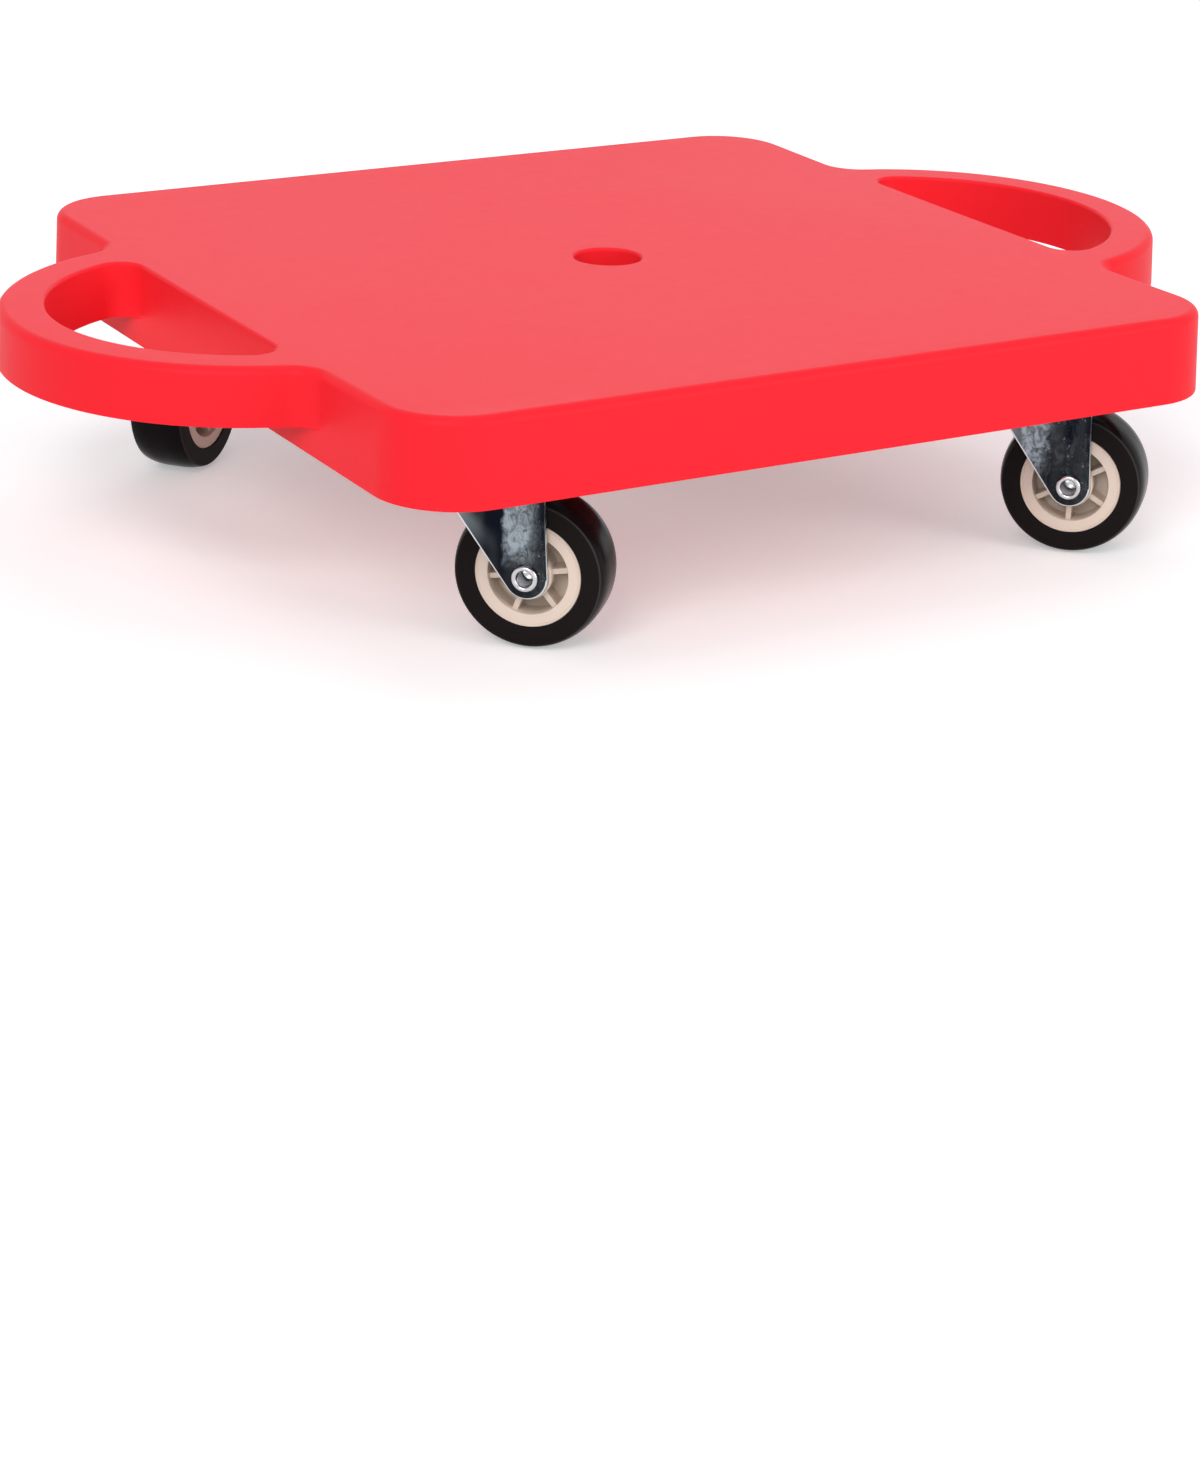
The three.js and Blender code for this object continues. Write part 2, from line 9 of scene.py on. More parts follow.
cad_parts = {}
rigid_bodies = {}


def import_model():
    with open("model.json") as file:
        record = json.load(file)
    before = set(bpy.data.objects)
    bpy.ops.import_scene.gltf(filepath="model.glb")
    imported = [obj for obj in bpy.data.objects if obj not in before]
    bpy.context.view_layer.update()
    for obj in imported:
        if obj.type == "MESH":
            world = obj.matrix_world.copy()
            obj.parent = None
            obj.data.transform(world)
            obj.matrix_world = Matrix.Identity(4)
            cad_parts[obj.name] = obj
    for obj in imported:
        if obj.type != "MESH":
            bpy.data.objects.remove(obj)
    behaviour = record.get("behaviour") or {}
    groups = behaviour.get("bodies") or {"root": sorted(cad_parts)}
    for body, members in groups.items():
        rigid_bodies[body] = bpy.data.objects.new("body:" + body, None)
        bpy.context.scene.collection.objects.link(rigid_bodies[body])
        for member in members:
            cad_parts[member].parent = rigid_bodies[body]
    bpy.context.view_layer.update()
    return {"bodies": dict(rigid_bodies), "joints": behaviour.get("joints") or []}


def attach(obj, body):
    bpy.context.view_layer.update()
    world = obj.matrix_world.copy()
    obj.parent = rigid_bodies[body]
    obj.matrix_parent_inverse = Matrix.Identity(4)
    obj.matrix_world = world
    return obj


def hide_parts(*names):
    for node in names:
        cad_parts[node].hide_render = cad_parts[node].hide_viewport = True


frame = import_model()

bl_info = {
    "name": "Scooter board",
    "version": (1, 0, 0),
    "blender": (4, 5, 0),
    "location": "View3D > Sidebar > Scooter board",
    "description": "Dresses a four-wheel scooter board: moulded deck and swivel casters",
    "category": "Object",
}

MM = 0.001
# How far a cutter reaches past what it cuts, how near two points are one, and how far apart two faces
# are kept that would lie in one plane
OVERRUN = 2 * MM
WELD = 0.002 * MM
SEAM = 0.05 * MM
SHARP = math.radians(30)
QUARTER_TURN = math.pi / 2
# Steps round a full turn, more where a round shape shows larger
ROUND = {"pilot": 24, "screw": 32, "boss": 40, "pin": 48, "ring": 64, "tube": 72, "hub": 96, "hole": 96}
ROUND["tyre"] = 120
# Steps round a quarter of the deck's and a plate's corners
DECK_CORNER_STEPS, PLATE_CORNER_STEPS = 20, 12
CASTERS = [body[len("swivel_"):] for body in frame["bodies"] if body.startswith("swivel_")]
JOINTS = {joint["name"]: joint for joint in frame["joints"]}


# Settings that a user would change


def length(label, about, millimetres):
    """A length setting, given in millimetres and kept in metres."""
    return FloatProperty(
        name=label, description=about, default=millimetres * MM, min=0.0, unit="LENGTH", precision=4
    )


def share(label, about, value):
    """A setting from 0 to 1."""
    return FloatProperty(
        name=label, description=about, default=value, min=0.0, max=1.0, subtype="FACTOR"
    )


def count(label, about, value):
    """A whole number of steps or of like pieces."""
    return IntProperty(name=label, description=about, default=value, min=1)


def colour(label, about, value):
    """A colour setting in linear light."""
    return FloatVectorProperty(
        name=label, description=about, default=value, size=3, min=0.0, max=1.0, subtype="COLOR"
    )


def number(label, about, value, unit="NONE"):
    """A number that isn't below zero."""
    return FloatProperty(name=label, description=about, default=value, min=0.0, unit=unit)


class DeckSizes(bpy.types.PropertyGroup):
    """Sizes of the moulded deck."""

    foot: length("Foot height", "Height of the deck's lower edge above the floor", 59)
    height: length("Height", "From the lower edge to the top face", 29)
    width: length("Width", "Side of the square, at its foot", 309)
    draft: length("Draft", "How much each side leans in towards the top", 1.6)
    corner: length("Corner radius", "Radius of the four corners in plan", 25.8)
    edge: length("Edge rounding", "Radius of the rounding round the top", 3)
    foot_edge: length("Foot rounding", "Width of the small rounding at the lower edge", 0.5)
    wall: length("Side wall", "Thickness of the skirt", 3)
    top_wall: length("Top wall", "Thickness of the top", 3.4)
    ceiling_fillet: length("Ceiling fillet", "Radius inside the hollow, under the top", 2)
    hole: length("Hole radius", "Radius of the centre hole", 11.8)
    brim: length("Brim", "Rounding round the top of the centre hole and the hand slots", 1.2)
    tube_wall: length("Hole wall", "Thickness of the tube round the centre hole", 3)
    handle_inset: length("Handle inset", "From the deck's side to the centre of the handle's arcs", 16.9)
    handle_height: length("Handle height", "From the handle's lower edge to the top face", 19.2)
    handle_outer: length("Handle outer radius", "Radius of the outside of the handle", 81.9)
    handle_inner: length("Handle inner radius", "Radius of the inside of the handle", 66.6)
    handle_fillet: length("Handle fillet", "Radius where the handle meets the deck's side", 12.5)
    handle_root: length("Handle root", "Reach of the handle into the deck's side", 6)
    handle_rib_rise: length("Handle rib rise", "From the handle's lower edge up to its ribs", 5)
    slot_corner: length("Slot corner radius", "Radius at the two ends of the hand slot", 8.5)
    sag: length("Sag", "How much the top hangs through between front and rear", 1.0)
    rib: length("Rib width", "Thickness of a rib under the deck", 2.4)
    rib_edge: length("Rib rounding", "Rounding of a rib's free edge", 0.7)
    rib_rise: length("Rib rise", "From the deck's foot up to the free edge of the ribs", 8)
    rib_offset: length("Rib spacing", "Between two ribs in the middle of the deck", 36)
    caster_inset: length("Caster inset", "From the deck's side in to a king pin", 48)
    pad_recess: length("Pad recess", "From the deck's foot up to the face that carries a plate", 4)
    pad_wall: length("Pad wall", "Thickness of the frame round a caster's pad", 3)
    pad_relief: length("Pad relief", "From a plate up to the cross between its bosses", 5)
    pad_edge: length("Pad rounding", "Rounding of that frame's free edge", 0.4)
    boss: length("Screw boss radius", "Radius of a boss that takes a screw", 5.2)
    boss_edge: length("Boss rounding", "Rounding of a boss's free edge", 0.3)
    pilot: length("Pilot depth", "Depth of a screw's pilot hole", 13)
    handle_ribs: count("Handle ribs", "Number of ribs inside each handle", 5)


class CasterSizes(bpy.types.PropertyGroup):
    """Sizes of a caster's pressed and turned steel pieces."""

    plate: length("Plate width", "Side of the square mounting plate", 62)
    plate_thick: length("Plate thickness", "Thickness of the mounting plate", 2)
    plate_corner: length("Plate corner radius", "Radius of the plate's corners", 6)
    plate_edge: length("Plate rounding", "Rounding of the plate's edges", 0.3)
    lip: length("Lip radius", "Radius of the plate's lip round the balls", 17.6)
    lip_wall: length("Lip wall", "Thickness of the lip", 1.4)
    lip_height: length("Lip height", "Depth of the lip below the plate", 2.2)
    screw_inset: length("Screw inset", "From the plate's side to a screw", 8)
    screw: length("Screw radius", "Radius of a screw's shank", 2.1)
    screw_length: length("Screw length", "From under the head to the tip", 11)
    screw_head: length("Screw head radius", "Radius of a screw's head", 4)
    screw_head_height: length("Screw head height", "Height of a screw's head", 2.4)
    recess_width: length("Recess width", "Width of an arm of the cross recess", 1.2)
    recess_depth: length("Recess depth", "Depth of the cross recess", 1.1)
    recess_length: length("Recess length", "Length of an arm of the cross recess", 4.4)
    gap: length("Gap", "Gap between pieces that turn on each other", 0.3)
    ball: length("Ball radius", "Radius of a bearing ball", 2.4)
    ball_circle: length("Ball circle", "Radius of the circle that the balls stand on", 11)
    cage_width: length("Cage width", "Width of the cage's ring", 3.4)
    cage_thick: length("Cage thickness", "Thickness of the cage's ring", 1.3)
    pin: length("King pin radius", "Radius of the king pin", 4)
    pin_head: length("King pin head radius", "Radius of both formed heads", 7)
    pin_head_height: length("King pin head height", "Height of a formed head", 2)
    balls: count("Balls", "Number of balls in a bearing", 8)
    sheet: length("Sheet thickness", "Thickness of the fork's steel", 1.6)
    inner: length("Fork width", "Between the insides of the fork's legs", 22)
    bend: length("Shoulder radius", "Outside radius of the fork's bent shoulders", 4)
    crown: length("Crown radius", "Radius of the fork's round crown", 16.5)
    rim_height: length("Rim height", "Height of the crown's rim", 1.8)
    rim_wall: length("Rim wall", "Thickness of the crown's rim", 1.2)
    leg_end: length("Leg end radius", "Radius of a leg's round end", 7.2)
    lead: length("Leg lead", "How far a leg reaches ahead of the king pin", 12.4)
    leg_trail: length("Leg trail", "How far a leg reaches behind the axle at the crown", 5.4)
    edge: length("Sheet rounding", "Rounding along the fork's sheared edges", 0.6)
    axle: length("Axle radius", "Radius of the rivet that carries the wheel", 3.5)
    bore: length("Axle bore radius", "Radius of the rivet's hollow end", 2.6)
    bore_depth: length("Axle bore depth", "Depth of the rivet's hollow end", 7)
    bore_point: length("Axle bore point", "Depth of the hollow's pointed bottom", 1.5)
    axle_lip: length("Axle lip radius", "Radius of the rolled lip", 4.3)
    axle_lip_length: length("Axle lip length", "How far the rolled lip stands out", 1.3)
    axle_head: length("Axle head radius", "Radius of the domed head", 6)
    axle_head_height: length("Axle head height", "Height of the domed head", 2.2)
    bush_wall: length("Bush wall", "Thickness of the bush round the axle", 1.1)


class WheelSizes(bpy.types.PropertyGroup):
    """Sizes of the plastic hub and its tyre."""

    radius: length("Wheel radius", "Radius over the middle of the tread", 25)
    width: length("Tyre width", "Width of the tyre", 20)
    crown: length("Tread crown", "How much lower the tread is at its edge", 1.4)
    tread_edge: length("Tread edge", "Rounding where the tread meets the tyre's face", 0.35)
    hub: length("Hub radius", "Radius of the plastic hub", 17.3)
    hub_width: length("Hub width", "Width of the hub's rim", 19.2)
    rim: length("Rim wall", "Width of the rim's flat ring", 4.2)
    boss: length("Boss wall", "Thickness of the boss round the bush", 2.6)
    end_gap: length("Boss gap", "Between the boss and a fork leg", 0.6)
    web: length("Web thickness", "Thickness of the web between rim and boss", 2.4)
    spoke: length("Spoke width", "Width of a spoke", 1.9)
    spoke_inset: length("Spoke inset", "How far a spoke lies below the rim's face", 1.8)
    edge: length("Hub rounding", "Rounding of the hub's edges", 0.35)
    fillet: length("Hub fillet", "Fillet between web, rim and boss", 0.8)
    key_height: length("Key height", "Height of the bead that keys the tyre", 1.5)
    key_width: length("Key width", "Width of the bead that keys the tyre", 8)
    tyre_gap: length("Tyre gap", "Gap between hub and tyre", 0.05)
    ring_line: length("Ring line", "From the hub's edge in to the fine groove round its face", 0.9)
    ring_line_width: length("Ring line width", "Width of that groove", 0.3)
    spokes: count("Spokes", "Number of spokes", 6)


class BoardFinishes(bpy.types.PropertyGroup):
    """Colours and gloss of the board's materials."""

    red: colour("Red plastic", "Colour of the moulded deck", (0.95, 0.021, 0.032))
    red_gloss: share("Deck roughness", "Roughness of the moulded deck", 0.4)
    cream: colour("Cream plastic", "Colour of the wheel hubs", (0.8, 0.68, 0.58))
    black: colour("Black tyre", "Colour of the tyres", (0.006, 0.005, 0.0055))
    # Painted reflections on the fork: the dark and cloudy tones stand in for the surroundings mirrored in the
    # chrome; bright is the steel's own tone, also used for painted highlights
    bright: colour("Bright steel", "Where the fork's plating is bright", (0.62, 0.66, 0.68))
    cloudy: colour("Cloudy steel", "Where the fork's plating is mottled", (0.2, 0.235, 0.26))
    dark: colour("Dark steel", "Where the fork's plating is dark", (0.0055, 0.0072, 0.0125))
    zinc: colour("Zinc", "Colour of the plates and pins", (0.56, 0.57, 0.59))
    rivet: colour("Rivet steel", "Colour of the wheel axles", (0.6, 0.61, 0.63))


class StageSettings(bpy.types.PropertyGroup):
    """The floor, the lamps and the camera."""

    floor: colour("Floor", "Colour of the floor", (0.86, 0.86, 0.86))
    floor_size: number("Floor size", "Length of a side of the floor", 60.0, "LENGTH")
    glow: number("Floor lift", "How much the floor is lifted for the camera", 0.35)
    far_glow: number("Far floor lift", "The same, past the reach of the lamps", 0.62)
    lit_near: number("Lit floor", "How far from the board the lamps light the floor fully", 1.0, "LENGTH")
    lit_far: number("Dim floor", "How far out their light is gone", math.sqrt(6.0), "LENGTH")
    sky: colour("World colour", "Colour of the light from all round", (0.93, 0.955, 1.0))
    world: number("World light", "Strength of the world", 0.48)
    key: number("Key lamp", "Power of the lamp to the left, in watts", 54.0)
    fill: number("Fill lamp", "Power of the lamp to the front right, in watts", 22.0)
    top: number("Top lamp", "Power of the lamp overhead, in watts", 7.0)
    back: number("Back lamp", "Power of the lamp behind, in watts", 7.0)
    place: FloatVectorProperty(
        name="Camera place",
        description="Where the camera stands",
        default=(-0.57934, -0.984014, 0.378194),
        size=3,
        subtype="TRANSLATION",
        unit="LENGTH",
    )
    turn: FloatVectorProperty(
        name="Camera turn",
        description="How the camera is turned",
        default=(math.radians(67.5387), math.radians(-1.52633), math.radians(-29.963)),
        size=3,
        subtype="EULER",
        unit="ROTATION",
    )
    lens: number("Lens", "Focal length of the camera", 81.76, "CAMERA")


# Small tools for modelling


def only(*pieces):
    """Selects these objects and nothing else."""
    bpy.ops.object.select_all(action="DESELECT")
    for piece in pieces:
        piece.select_set(True)
    bpy.context.view_layer.objects.active = pieces[0]


def edit(piece, mode="VERT"):
    """Goes into edit mode with nothing selected."""
    only(piece)
    bpy.ops.object.mode_set(mode="EDIT")
    bpy.ops.mesh.select_mode(type=mode)
    bpy.ops.mesh.select_all(action="DESELECT")


def leave_edit():
    """Goes back to object mode."""
    bpy.ops.object.mode_set(mode="OBJECT")


def select_edges(piece, test):
    """In edit mode, selects each edge that a test passes."""
    mesh = bmesh.from_edit_mesh(piece.data)
    for edge in mesh.edges:
        if test(edge):
            edge.select_set(True)
    bmesh.update_edit_mesh(piece.data)


def select_points(piece, test):
    """In edit mode, selects each vertex whose place passes a test."""
    mesh = bmesh.from_edit_mesh(piece.data)
    for vertex in mesh.verts:
        if test(vertex.co):
            vertex.select_set(True)
    mesh.select_flush_mode()
    bmesh.update_edit_mesh(piece.data)


def below(height):
    """A test for edges that lie at or under a height."""
    return lambda edge: all(vertex.co.z < height + WELD for vertex in edge.verts)


def begun(name, low=0.0, free_edge=0.0):
    """The primitive that was just added, named, its place applied and its lower edges rounded."""
    piece = bpy.context.object
    piece.name = name
    bpy.ops.object.transform_apply()
    if free_edge:
        edit(piece, "EDGE")
        select_edges(piece, below(low))
        bpy.ops.mesh.bevel(offset=free_edge, segments=3, affect="EDGES")
        leave_edit()
    return piece


def lone_point(name, place):
    """A new object in edit mode whose mesh is one selected vertex: a plane merged to its middle."""
    bpy.ops.object.select_all(action="DESELECT")
    bpy.ops.mesh.primitive_plane_add(size=MM, location=place)
    piece = begun(name)
    edit(piece)
    bpy.ops.mesh.select_all(action="SELECT")
    bpy.ops.mesh.merge(type="CENTER")
    return piece


def draw_to(here, there):
    """Extrudes the selected vertex from one place to another."""
    step = Vector(there) - Vector(here)
    bpy.ops.mesh.extrude_vertices_move(TRANSFORM_OT_translate={"value": step})


def tidy_mesh(piece, weld=WELD):
    """Merges doubles and turns every face outwards."""
    edit(piece)
    bpy.ops.mesh.select_all(action="SELECT")
    bpy.ops.mesh.remove_doubles(threshold=weld)
    bpy.ops.mesh.dissolve_degenerate(threshold=WELD)
    bpy.ops.mesh.normals_make_consistent(inside=False)
    leave_edit()


def turned(name, profile, steps, roundings=()):
    """A profile of (radius, height) points, drawn by extrusion, rounded at chosen points and spun about Z."""
    places = [(radius, 0, height) for radius, height in profile]
    piece = lone_point(name, places[0])
    for here, there in zip(places, places[1:]):
        draw_to(here, there)
    if profile[0] == profile[-1]:
        bpy.ops.mesh.select_all(action="SELECT")
        bpy.ops.mesh.remove_doubles(threshold=WELD)
    for radius, segments, chosen in roundings:
        corners = [Vector(places[i]) for i in chosen]
        bpy.ops.mesh.select_all(action="DESELECT")
        select_points(piece, lambda place: any((place - corner).length < WELD for corner in corners))
        bpy.ops.mesh.bevel(offset=radius, segments=segments, affect="VERTICES")
    bpy.ops.mesh.select_all(action="SELECT")
    bpy.ops.mesh.spin(steps=steps, angle=2 * math.pi, center=(0, 0, 0), axis=(0, 0, 1))
    leave_edit()
    tidy_mesh(piece)
    return piece


def arc(x, y, radius, start, end, steps, hollow=False):
    """An arc of a flat outline, in degrees. A growth widens a round corner and tightens a hollow one."""
    return {"x": x, "y": y, "radius": radius, "start": start, "end": end, "steps": steps, "hollow": hollow}


def square_arcs(half, radius, steps):
    """The round corners of a square outline."""
    at = half - radius
    corners = [(at, -at, -90), (at, at, 0), (-at, at, 90), (-at, -at, 180)]
    return [arc(x, y, radius, start, start + 90, steps) for x, y, start in corners]


def arc_start(piece, growth, height):
    """Where an arc begins once its outline has grown."""
    reach = piece["radius"] + (-growth if piece["hollow"] else growth)
    angle = math.radians(piece["start"])
    return Vector((piece["x"] + reach * math.cos(angle), piece["y"] + reach * math.sin(angle), height))


def outline(name, arcs, growth, height):
    """A closed flat face whose border is drawn arc by arc: each arc is spun, each straight is extruded."""
    piece = lone_point(name, arc_start(arcs[0], growth, height))
    for now, following in zip(arcs, [*arcs[1:], None]):
        sweep = math.radians(now["end"] - now["start"])
        centre = (now["x"], now["y"], height)
        bpy.ops.mesh.spin(steps=now["steps"], angle=-sweep, center=centre, axis=(0, 0, 1))
        if following:
            end = arc_start({**now, "start": now["end"]}, growth, height)
            start = arc_start(following, growth, height)
            if (start - end).length > WELD:
                draw_to(end, start)
    bpy.ops.mesh.select_all(action="SELECT")
    bpy.ops.mesh.remove_doubles(threshold=WELD)
    bpy.ops.mesh.edge_face_add()
    return piece


def tower(name, arcs, levels):
    """A solid that starts from its widest outline and is inset and raised, or lowered, from level to level.

    A level is (growth of the outline, height)."""
    growth, height = levels[0]
    piece = outline(name, arcs, growth, height)
    mesh = bmesh.from_edit_mesh(piece.data)
    up = 1 if levels[1][1] > height else -1
    if next(iter(mesh.faces)).normal.z * up < 0:
        bpy.ops.mesh.flip_normals()
    for next_growth, next_height in levels[1:]:
        bpy.ops.mesh.inset(
            thickness=growth - next_growth, depth=abs(next_height - height), use_even_offset=True
        )
        growth, height = next_growth, next_height
    bpy.ops.mesh.select_all(action="DESELECT")
    bpy.ops.mesh.select_non_manifold()
    bpy.ops.mesh.edge_face_add()
    leave_edit()
    tidy_mesh(piece)
    return piece


def bar(name, low, high, free_edge=0.0):
    """A box between two corners, with its lower edges rounded."""
    low, high = Vector(low), Vector(high)
    bpy.ops.object.select_all(action="DESELECT")
    bpy.ops.mesh.primitive_cube_add(size=1, location=(low + high) / 2, scale=high - low)
    return begun(name, low.z, free_edge)


def rod(name, radius, low, high, steps, x=0.0, y=0.0, free_edge=0.0):
    """A round bar along Z, with its lower edge rounded."""
    bpy.ops.object.select_all(action="DESELECT")
    bpy.ops.mesh.primitive_cylinder_add(
        vertices=steps, radius=radius, depth=high - low, location=(x, y, (low + high) / 2)
    )
    return begun(name, low, free_edge)


def joined(name, pieces):
    """Joins objects into one, their shells left as they are."""
    only(*pieces)
    if len(pieces) > 1:
        bpy.ops.object.join()
    whole = bpy.context.object
    whole.name = name
    return whole


def modified(piece, kind, **settings):
    """Adds a modifier, sets it and applies it."""
    only(piece)
    bpy.ops.object.modifier_add(type=kind)
    modifier = piece.modifiers[-1]
    for label, value in settings.items():
        setattr(modifier, label, value)
    bpy.ops.object.modifier_apply(modifier=modifier.name)
    return piece


def combine(piece, tool, operation, overlapping=False):
    """Adds a tool to a piece, cuts it out of it, or keeps what both hold. The tool is used up."""
    modified(piece, "BOOLEAN", object=tool, operation=operation, solver="EXACT", use_self=overlapping)
    bpy.data.objects.remove(tool)
    if not piece.data.polygons:
        raise RuntimeError(piece.name + " has nothing left after " + operation)
    return piece


def round_edges(piece, width, segments=2, angle=SHARP, test=None, clamp=True):
    """Rounds each edge that is sharper than an angle and passes a test."""
    edit(piece, "EDGE")

    def wanted(edge):
        if len(edge.link_faces) != 2 or edge.calc_face_angle(0.0) < angle:
            return False
        return test is None or test(edge)

    select_edges(piece, wanted)
    bpy.ops.mesh.bevel(offset=width, segments=segments, affect="EDGES", clamp_overlap=clamp)
    leave_edit()
    return piece


def moved(piece, matrix):
    """Puts a piece in its place, which goes into its mesh."""
    piece.matrix_world = matrix
    only(piece)
    bpy.ops.object.transform_apply()
    return piece


def copied(piece, name):
    """A copy of a piece with its own mesh."""
    only(piece)
    bpy.ops.object.duplicate()
    twin = bpy.context.object
    twin.name = name
    return twin


def remember_place(piece):
    """Keeps each point's place on the piece itself, before the piece goes to its own caster."""
    points = piece.data.attributes.new("own_place", "FLOAT_VECTOR", "POINT")
    for stored, vertex in zip(points.data, piece.data.vertices):
        stored.vector = vertex.co


def smooth(piece, angle=SHARP):
    """Smooth shading with flat faces kept flat."""
    tidy_mesh(piece)
    only(piece)
    bpy.ops.object.shade_smooth_by_angle(angle=angle, keep_sharp_edges=False)
    return modified(piece, "WEIGHTED_NORMAL", keep_sharp=True)


# The CAD node that each kind of piece stands for
NODE_OF = {
    "pressed_plate": "mounting_plate",
    "formed_pin": "king_pin",
    "caged_balls": "ball_cage",
    "folded_fork": "fork",
    "hollow_rivet": "wheel_axle",
    "steel_bush": "axle_bush",
    "moulded_hub": "wheel_hub",
    "smooth_tyre": "tyre",
}

# Spoke angles of the wheels as they stand, in degrees
SPOKE_PHASES = {"front_left": 10.0, "front_right": 30.0, "rear_left": 12.0, "rear_right": 33.0}

# How much further round each screw of a plate stopped than the one before, in radians
SCREW_TURN = 0.7

# Where the pale mottled band of painted reflection runs down the leg of each fork, in millimetres behind its
# king pin
REFLECTION_BANDS = {"front_left": (11, 20), "front_right": (1, 9.5), "rear_left": (8, 17), "rear_right": (6, 15)}


def dress(piece, finish, body, nodes):
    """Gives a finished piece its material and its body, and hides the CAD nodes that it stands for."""
    piece.data.materials.clear()
    piece.data.materials.append(finish)
    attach(piece, body)
    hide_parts(*nodes)


def caster_turn(name):
    """The angle that a caster has swivelled to, from its wheel's axis."""
    axis = JOINTS["wheel_spin_" + name]["axis"]
    return math.atan2(-axis[0], axis[1])


def pin_place(name):
    """Where the pieces of a caster go that stay with the deck: on its king pin's axis."""
    x, y, _ = JOINTS["swivel_" + name]["pos_m"]
    return Matrix.Translation((x, y, 0))


def fork_place(name):
    """Where the pieces go that swivel: the same, at the angle that the caster has swivelled to."""
    return pin_place(name) @ Matrix.Rotation(caster_turn(name), 4, "Z")


def axle_place(name):
    """Where the pieces on the wheel's axle go, drawn upright and laid along it."""
    stand = Matrix.Rotation(caster_turn(name), 4, "Z") @ Matrix.Rotation(QUARTER_TURN, 4, "X")
    return Matrix.Translation(JOINTS["wheel_spin_" + name]["pos_m"]) @ stand


def wheel_place(name):
    """Where a hub and a tyre go: on the axle, rolled to the angle that the spokes show."""
    return axle_place(name) @ Matrix.Rotation(math.radians(SPOKE_PHASES[name]), 4, "Z")


def copies(piece, label, finish, ride, place):
    """Copies a piece to each caster, where it rides on the board, on the fork or on the wheel."""
    remember_place(piece)
    for name in CASTERS:
        twin = moved(copied(piece, f"{label}_{name}"), place(name))
        body = ride if ride == "board" else f"{ride}_{name}"
        own_finish = finish[name] if isinstance(finish, dict) else finish
        dress(twin, own_finish, body, [f"{NODE_OF[label]}_{name}"])
    bpy.data.objects.remove(piece)


# Materials


class Wire:
    """An output of a node. A sum on it adds Math nodes."""

    def __init__(self, tree, socket):
        self.tree = tree
        self.socket = socket

    def math(self, operation, first, second):
        return self.tree.node("ShaderNodeMath", {"operation": operation}, {0: first, 1: second})

    def __add__(self, other):
        return self.math("ADD", self, other)

    def __sub__(self, other):
        return self.math("SUBTRACT", self, other)

    def __rsub__(self, other):
        return self.math("SUBTRACT", other, self)

    def __mul__(self, other):
        return self.math("MULTIPLY", self, other)

    __radd__ = __add__
    __rmul__ = __mul__


class Tree:
    """The nodes of a material or of the world."""

    def __init__(self, owner):
        owner.use_nodes = True
        self.nodes = owner.node_tree.nodes
        self.links = owner.node_tree.links

    def plug(self, socket, value):
        """Links a wire to a socket, or sets the socket."""
        if isinstance(value, Wire):
            self.links.new(value.socket, socket)
        else:
            socket.default_value = value

    def node(self, kind, settings=None, sockets=None, output=0):
        """Adds a node. Its settings are set first, then the values or links of its sockets."""
        made = self.nodes.new(kind)
        for label, value in (settings or {}).items():
            setattr(made, label, value)
        for label, value in (sockets or {}).items():
            self.plug(made.inputs[label], value)
        return Wire(self, made.outputs[output])

    def blend(self, factor, first, second):
        """One colour over another."""
        return self.node("ShaderNodeMix", {"data_type": "RGBA"}, {0: factor, 6: first, 7: second}, output=2)

    def seen(self):
        """1 for a ray that shows a backdrop, straight or in metal or glass, and 0 for one that lights."""
        rays = self.node("ShaderNodeLightPath").socket.node.outputs
        camera, glossy, through = (
            Wire(self, rays[f"Is {kind} Ray"]) for kind in ("Camera", "Glossy", "Transmission")
        )
        return camera + glossy + through


class Finish(Tree):
    """A material: a Principled shader and the nodes that feed it."""

    def __init__(self, name, **constants):
        self.material = bpy.data.materials.new(name)
        super().__init__(self.material)
        self.nodes.clear()
        output = self.nodes.new("ShaderNodeOutputMaterial")
        self.shader = self.nodes.new("ShaderNodeBsdfPrincipled")
        self.links.new(self.shader.outputs["BSDF"], output.inputs["Surface"])
        for label, value in constants.items():
            self.feed(label.replace("_", " "), value)

    def feed(self, label, value):
        """Sets or links a socket of the shader."""
        self.plug(self.shader.inputs[label], value)

    def place(self, own=False):
        """A point's place: in the object, or on the piece itself before it went to its caster."""
        if own:
            return self.node("ShaderNodeAttribute", {"attribute_name": "own_place"}, output=1)
        return self.node("ShaderNodeTexCoord", output="Object")

    def mapped(self, place, scale, turn=(0, 0, 0)):
        """A place that is turned and scaled, so that a pattern on it runs in streaks."""
        return self.node("ShaderNodeMapping", sockets={"Vector": place, "Scale": scale, "Rotation": turn})

    def noise(self, place, scale, detail=3.0, roughness=0.5, distortion=0.0):
        """A cloudy pattern from 0 to 1. Its scale is about how many clouds go into a metre."""
        grain = {"Scale": scale, "Detail": detail, "Roughness": roughness, "Distortion": distortion}
        return self.node("ShaderNodeTexNoise", sockets={"Vector": place, **grain})

    def fade(self, value, low, high):
        """0 below one value and 1 above the other, with a soft step between."""
        sockets = {"Value": value, "From Min": low, "From Max": high}
        return self.node("ShaderNodeMapRange", {"interpolation_type": "SMOOTHSTEP"}, sockets)

    def axes(self, place):
        """The three numbers of a place."""
        split = self.node("ShaderNodeSeparateXYZ", sockets={0: place})
        outputs = split.socket.node.outputs
        return [Wire(self, outputs[i]) for i in range(3)]

    def bump(self, height, distance, strength=1.0, under=None):
        """A bump of a height from 0 to 1, over another bump."""
        sockets = {"Height": height, "Distance": distance, "Strength": strength}
        if under:
            sockets["Normal"] = under
        return self.node("ShaderNodeBump", sockets=sockets)


def rgba(values, factor=1.0):
    """A colour with its alpha, made lighter or darker."""
    return [min(1.0, value * factor) for value in values[:3]] + [1.0]


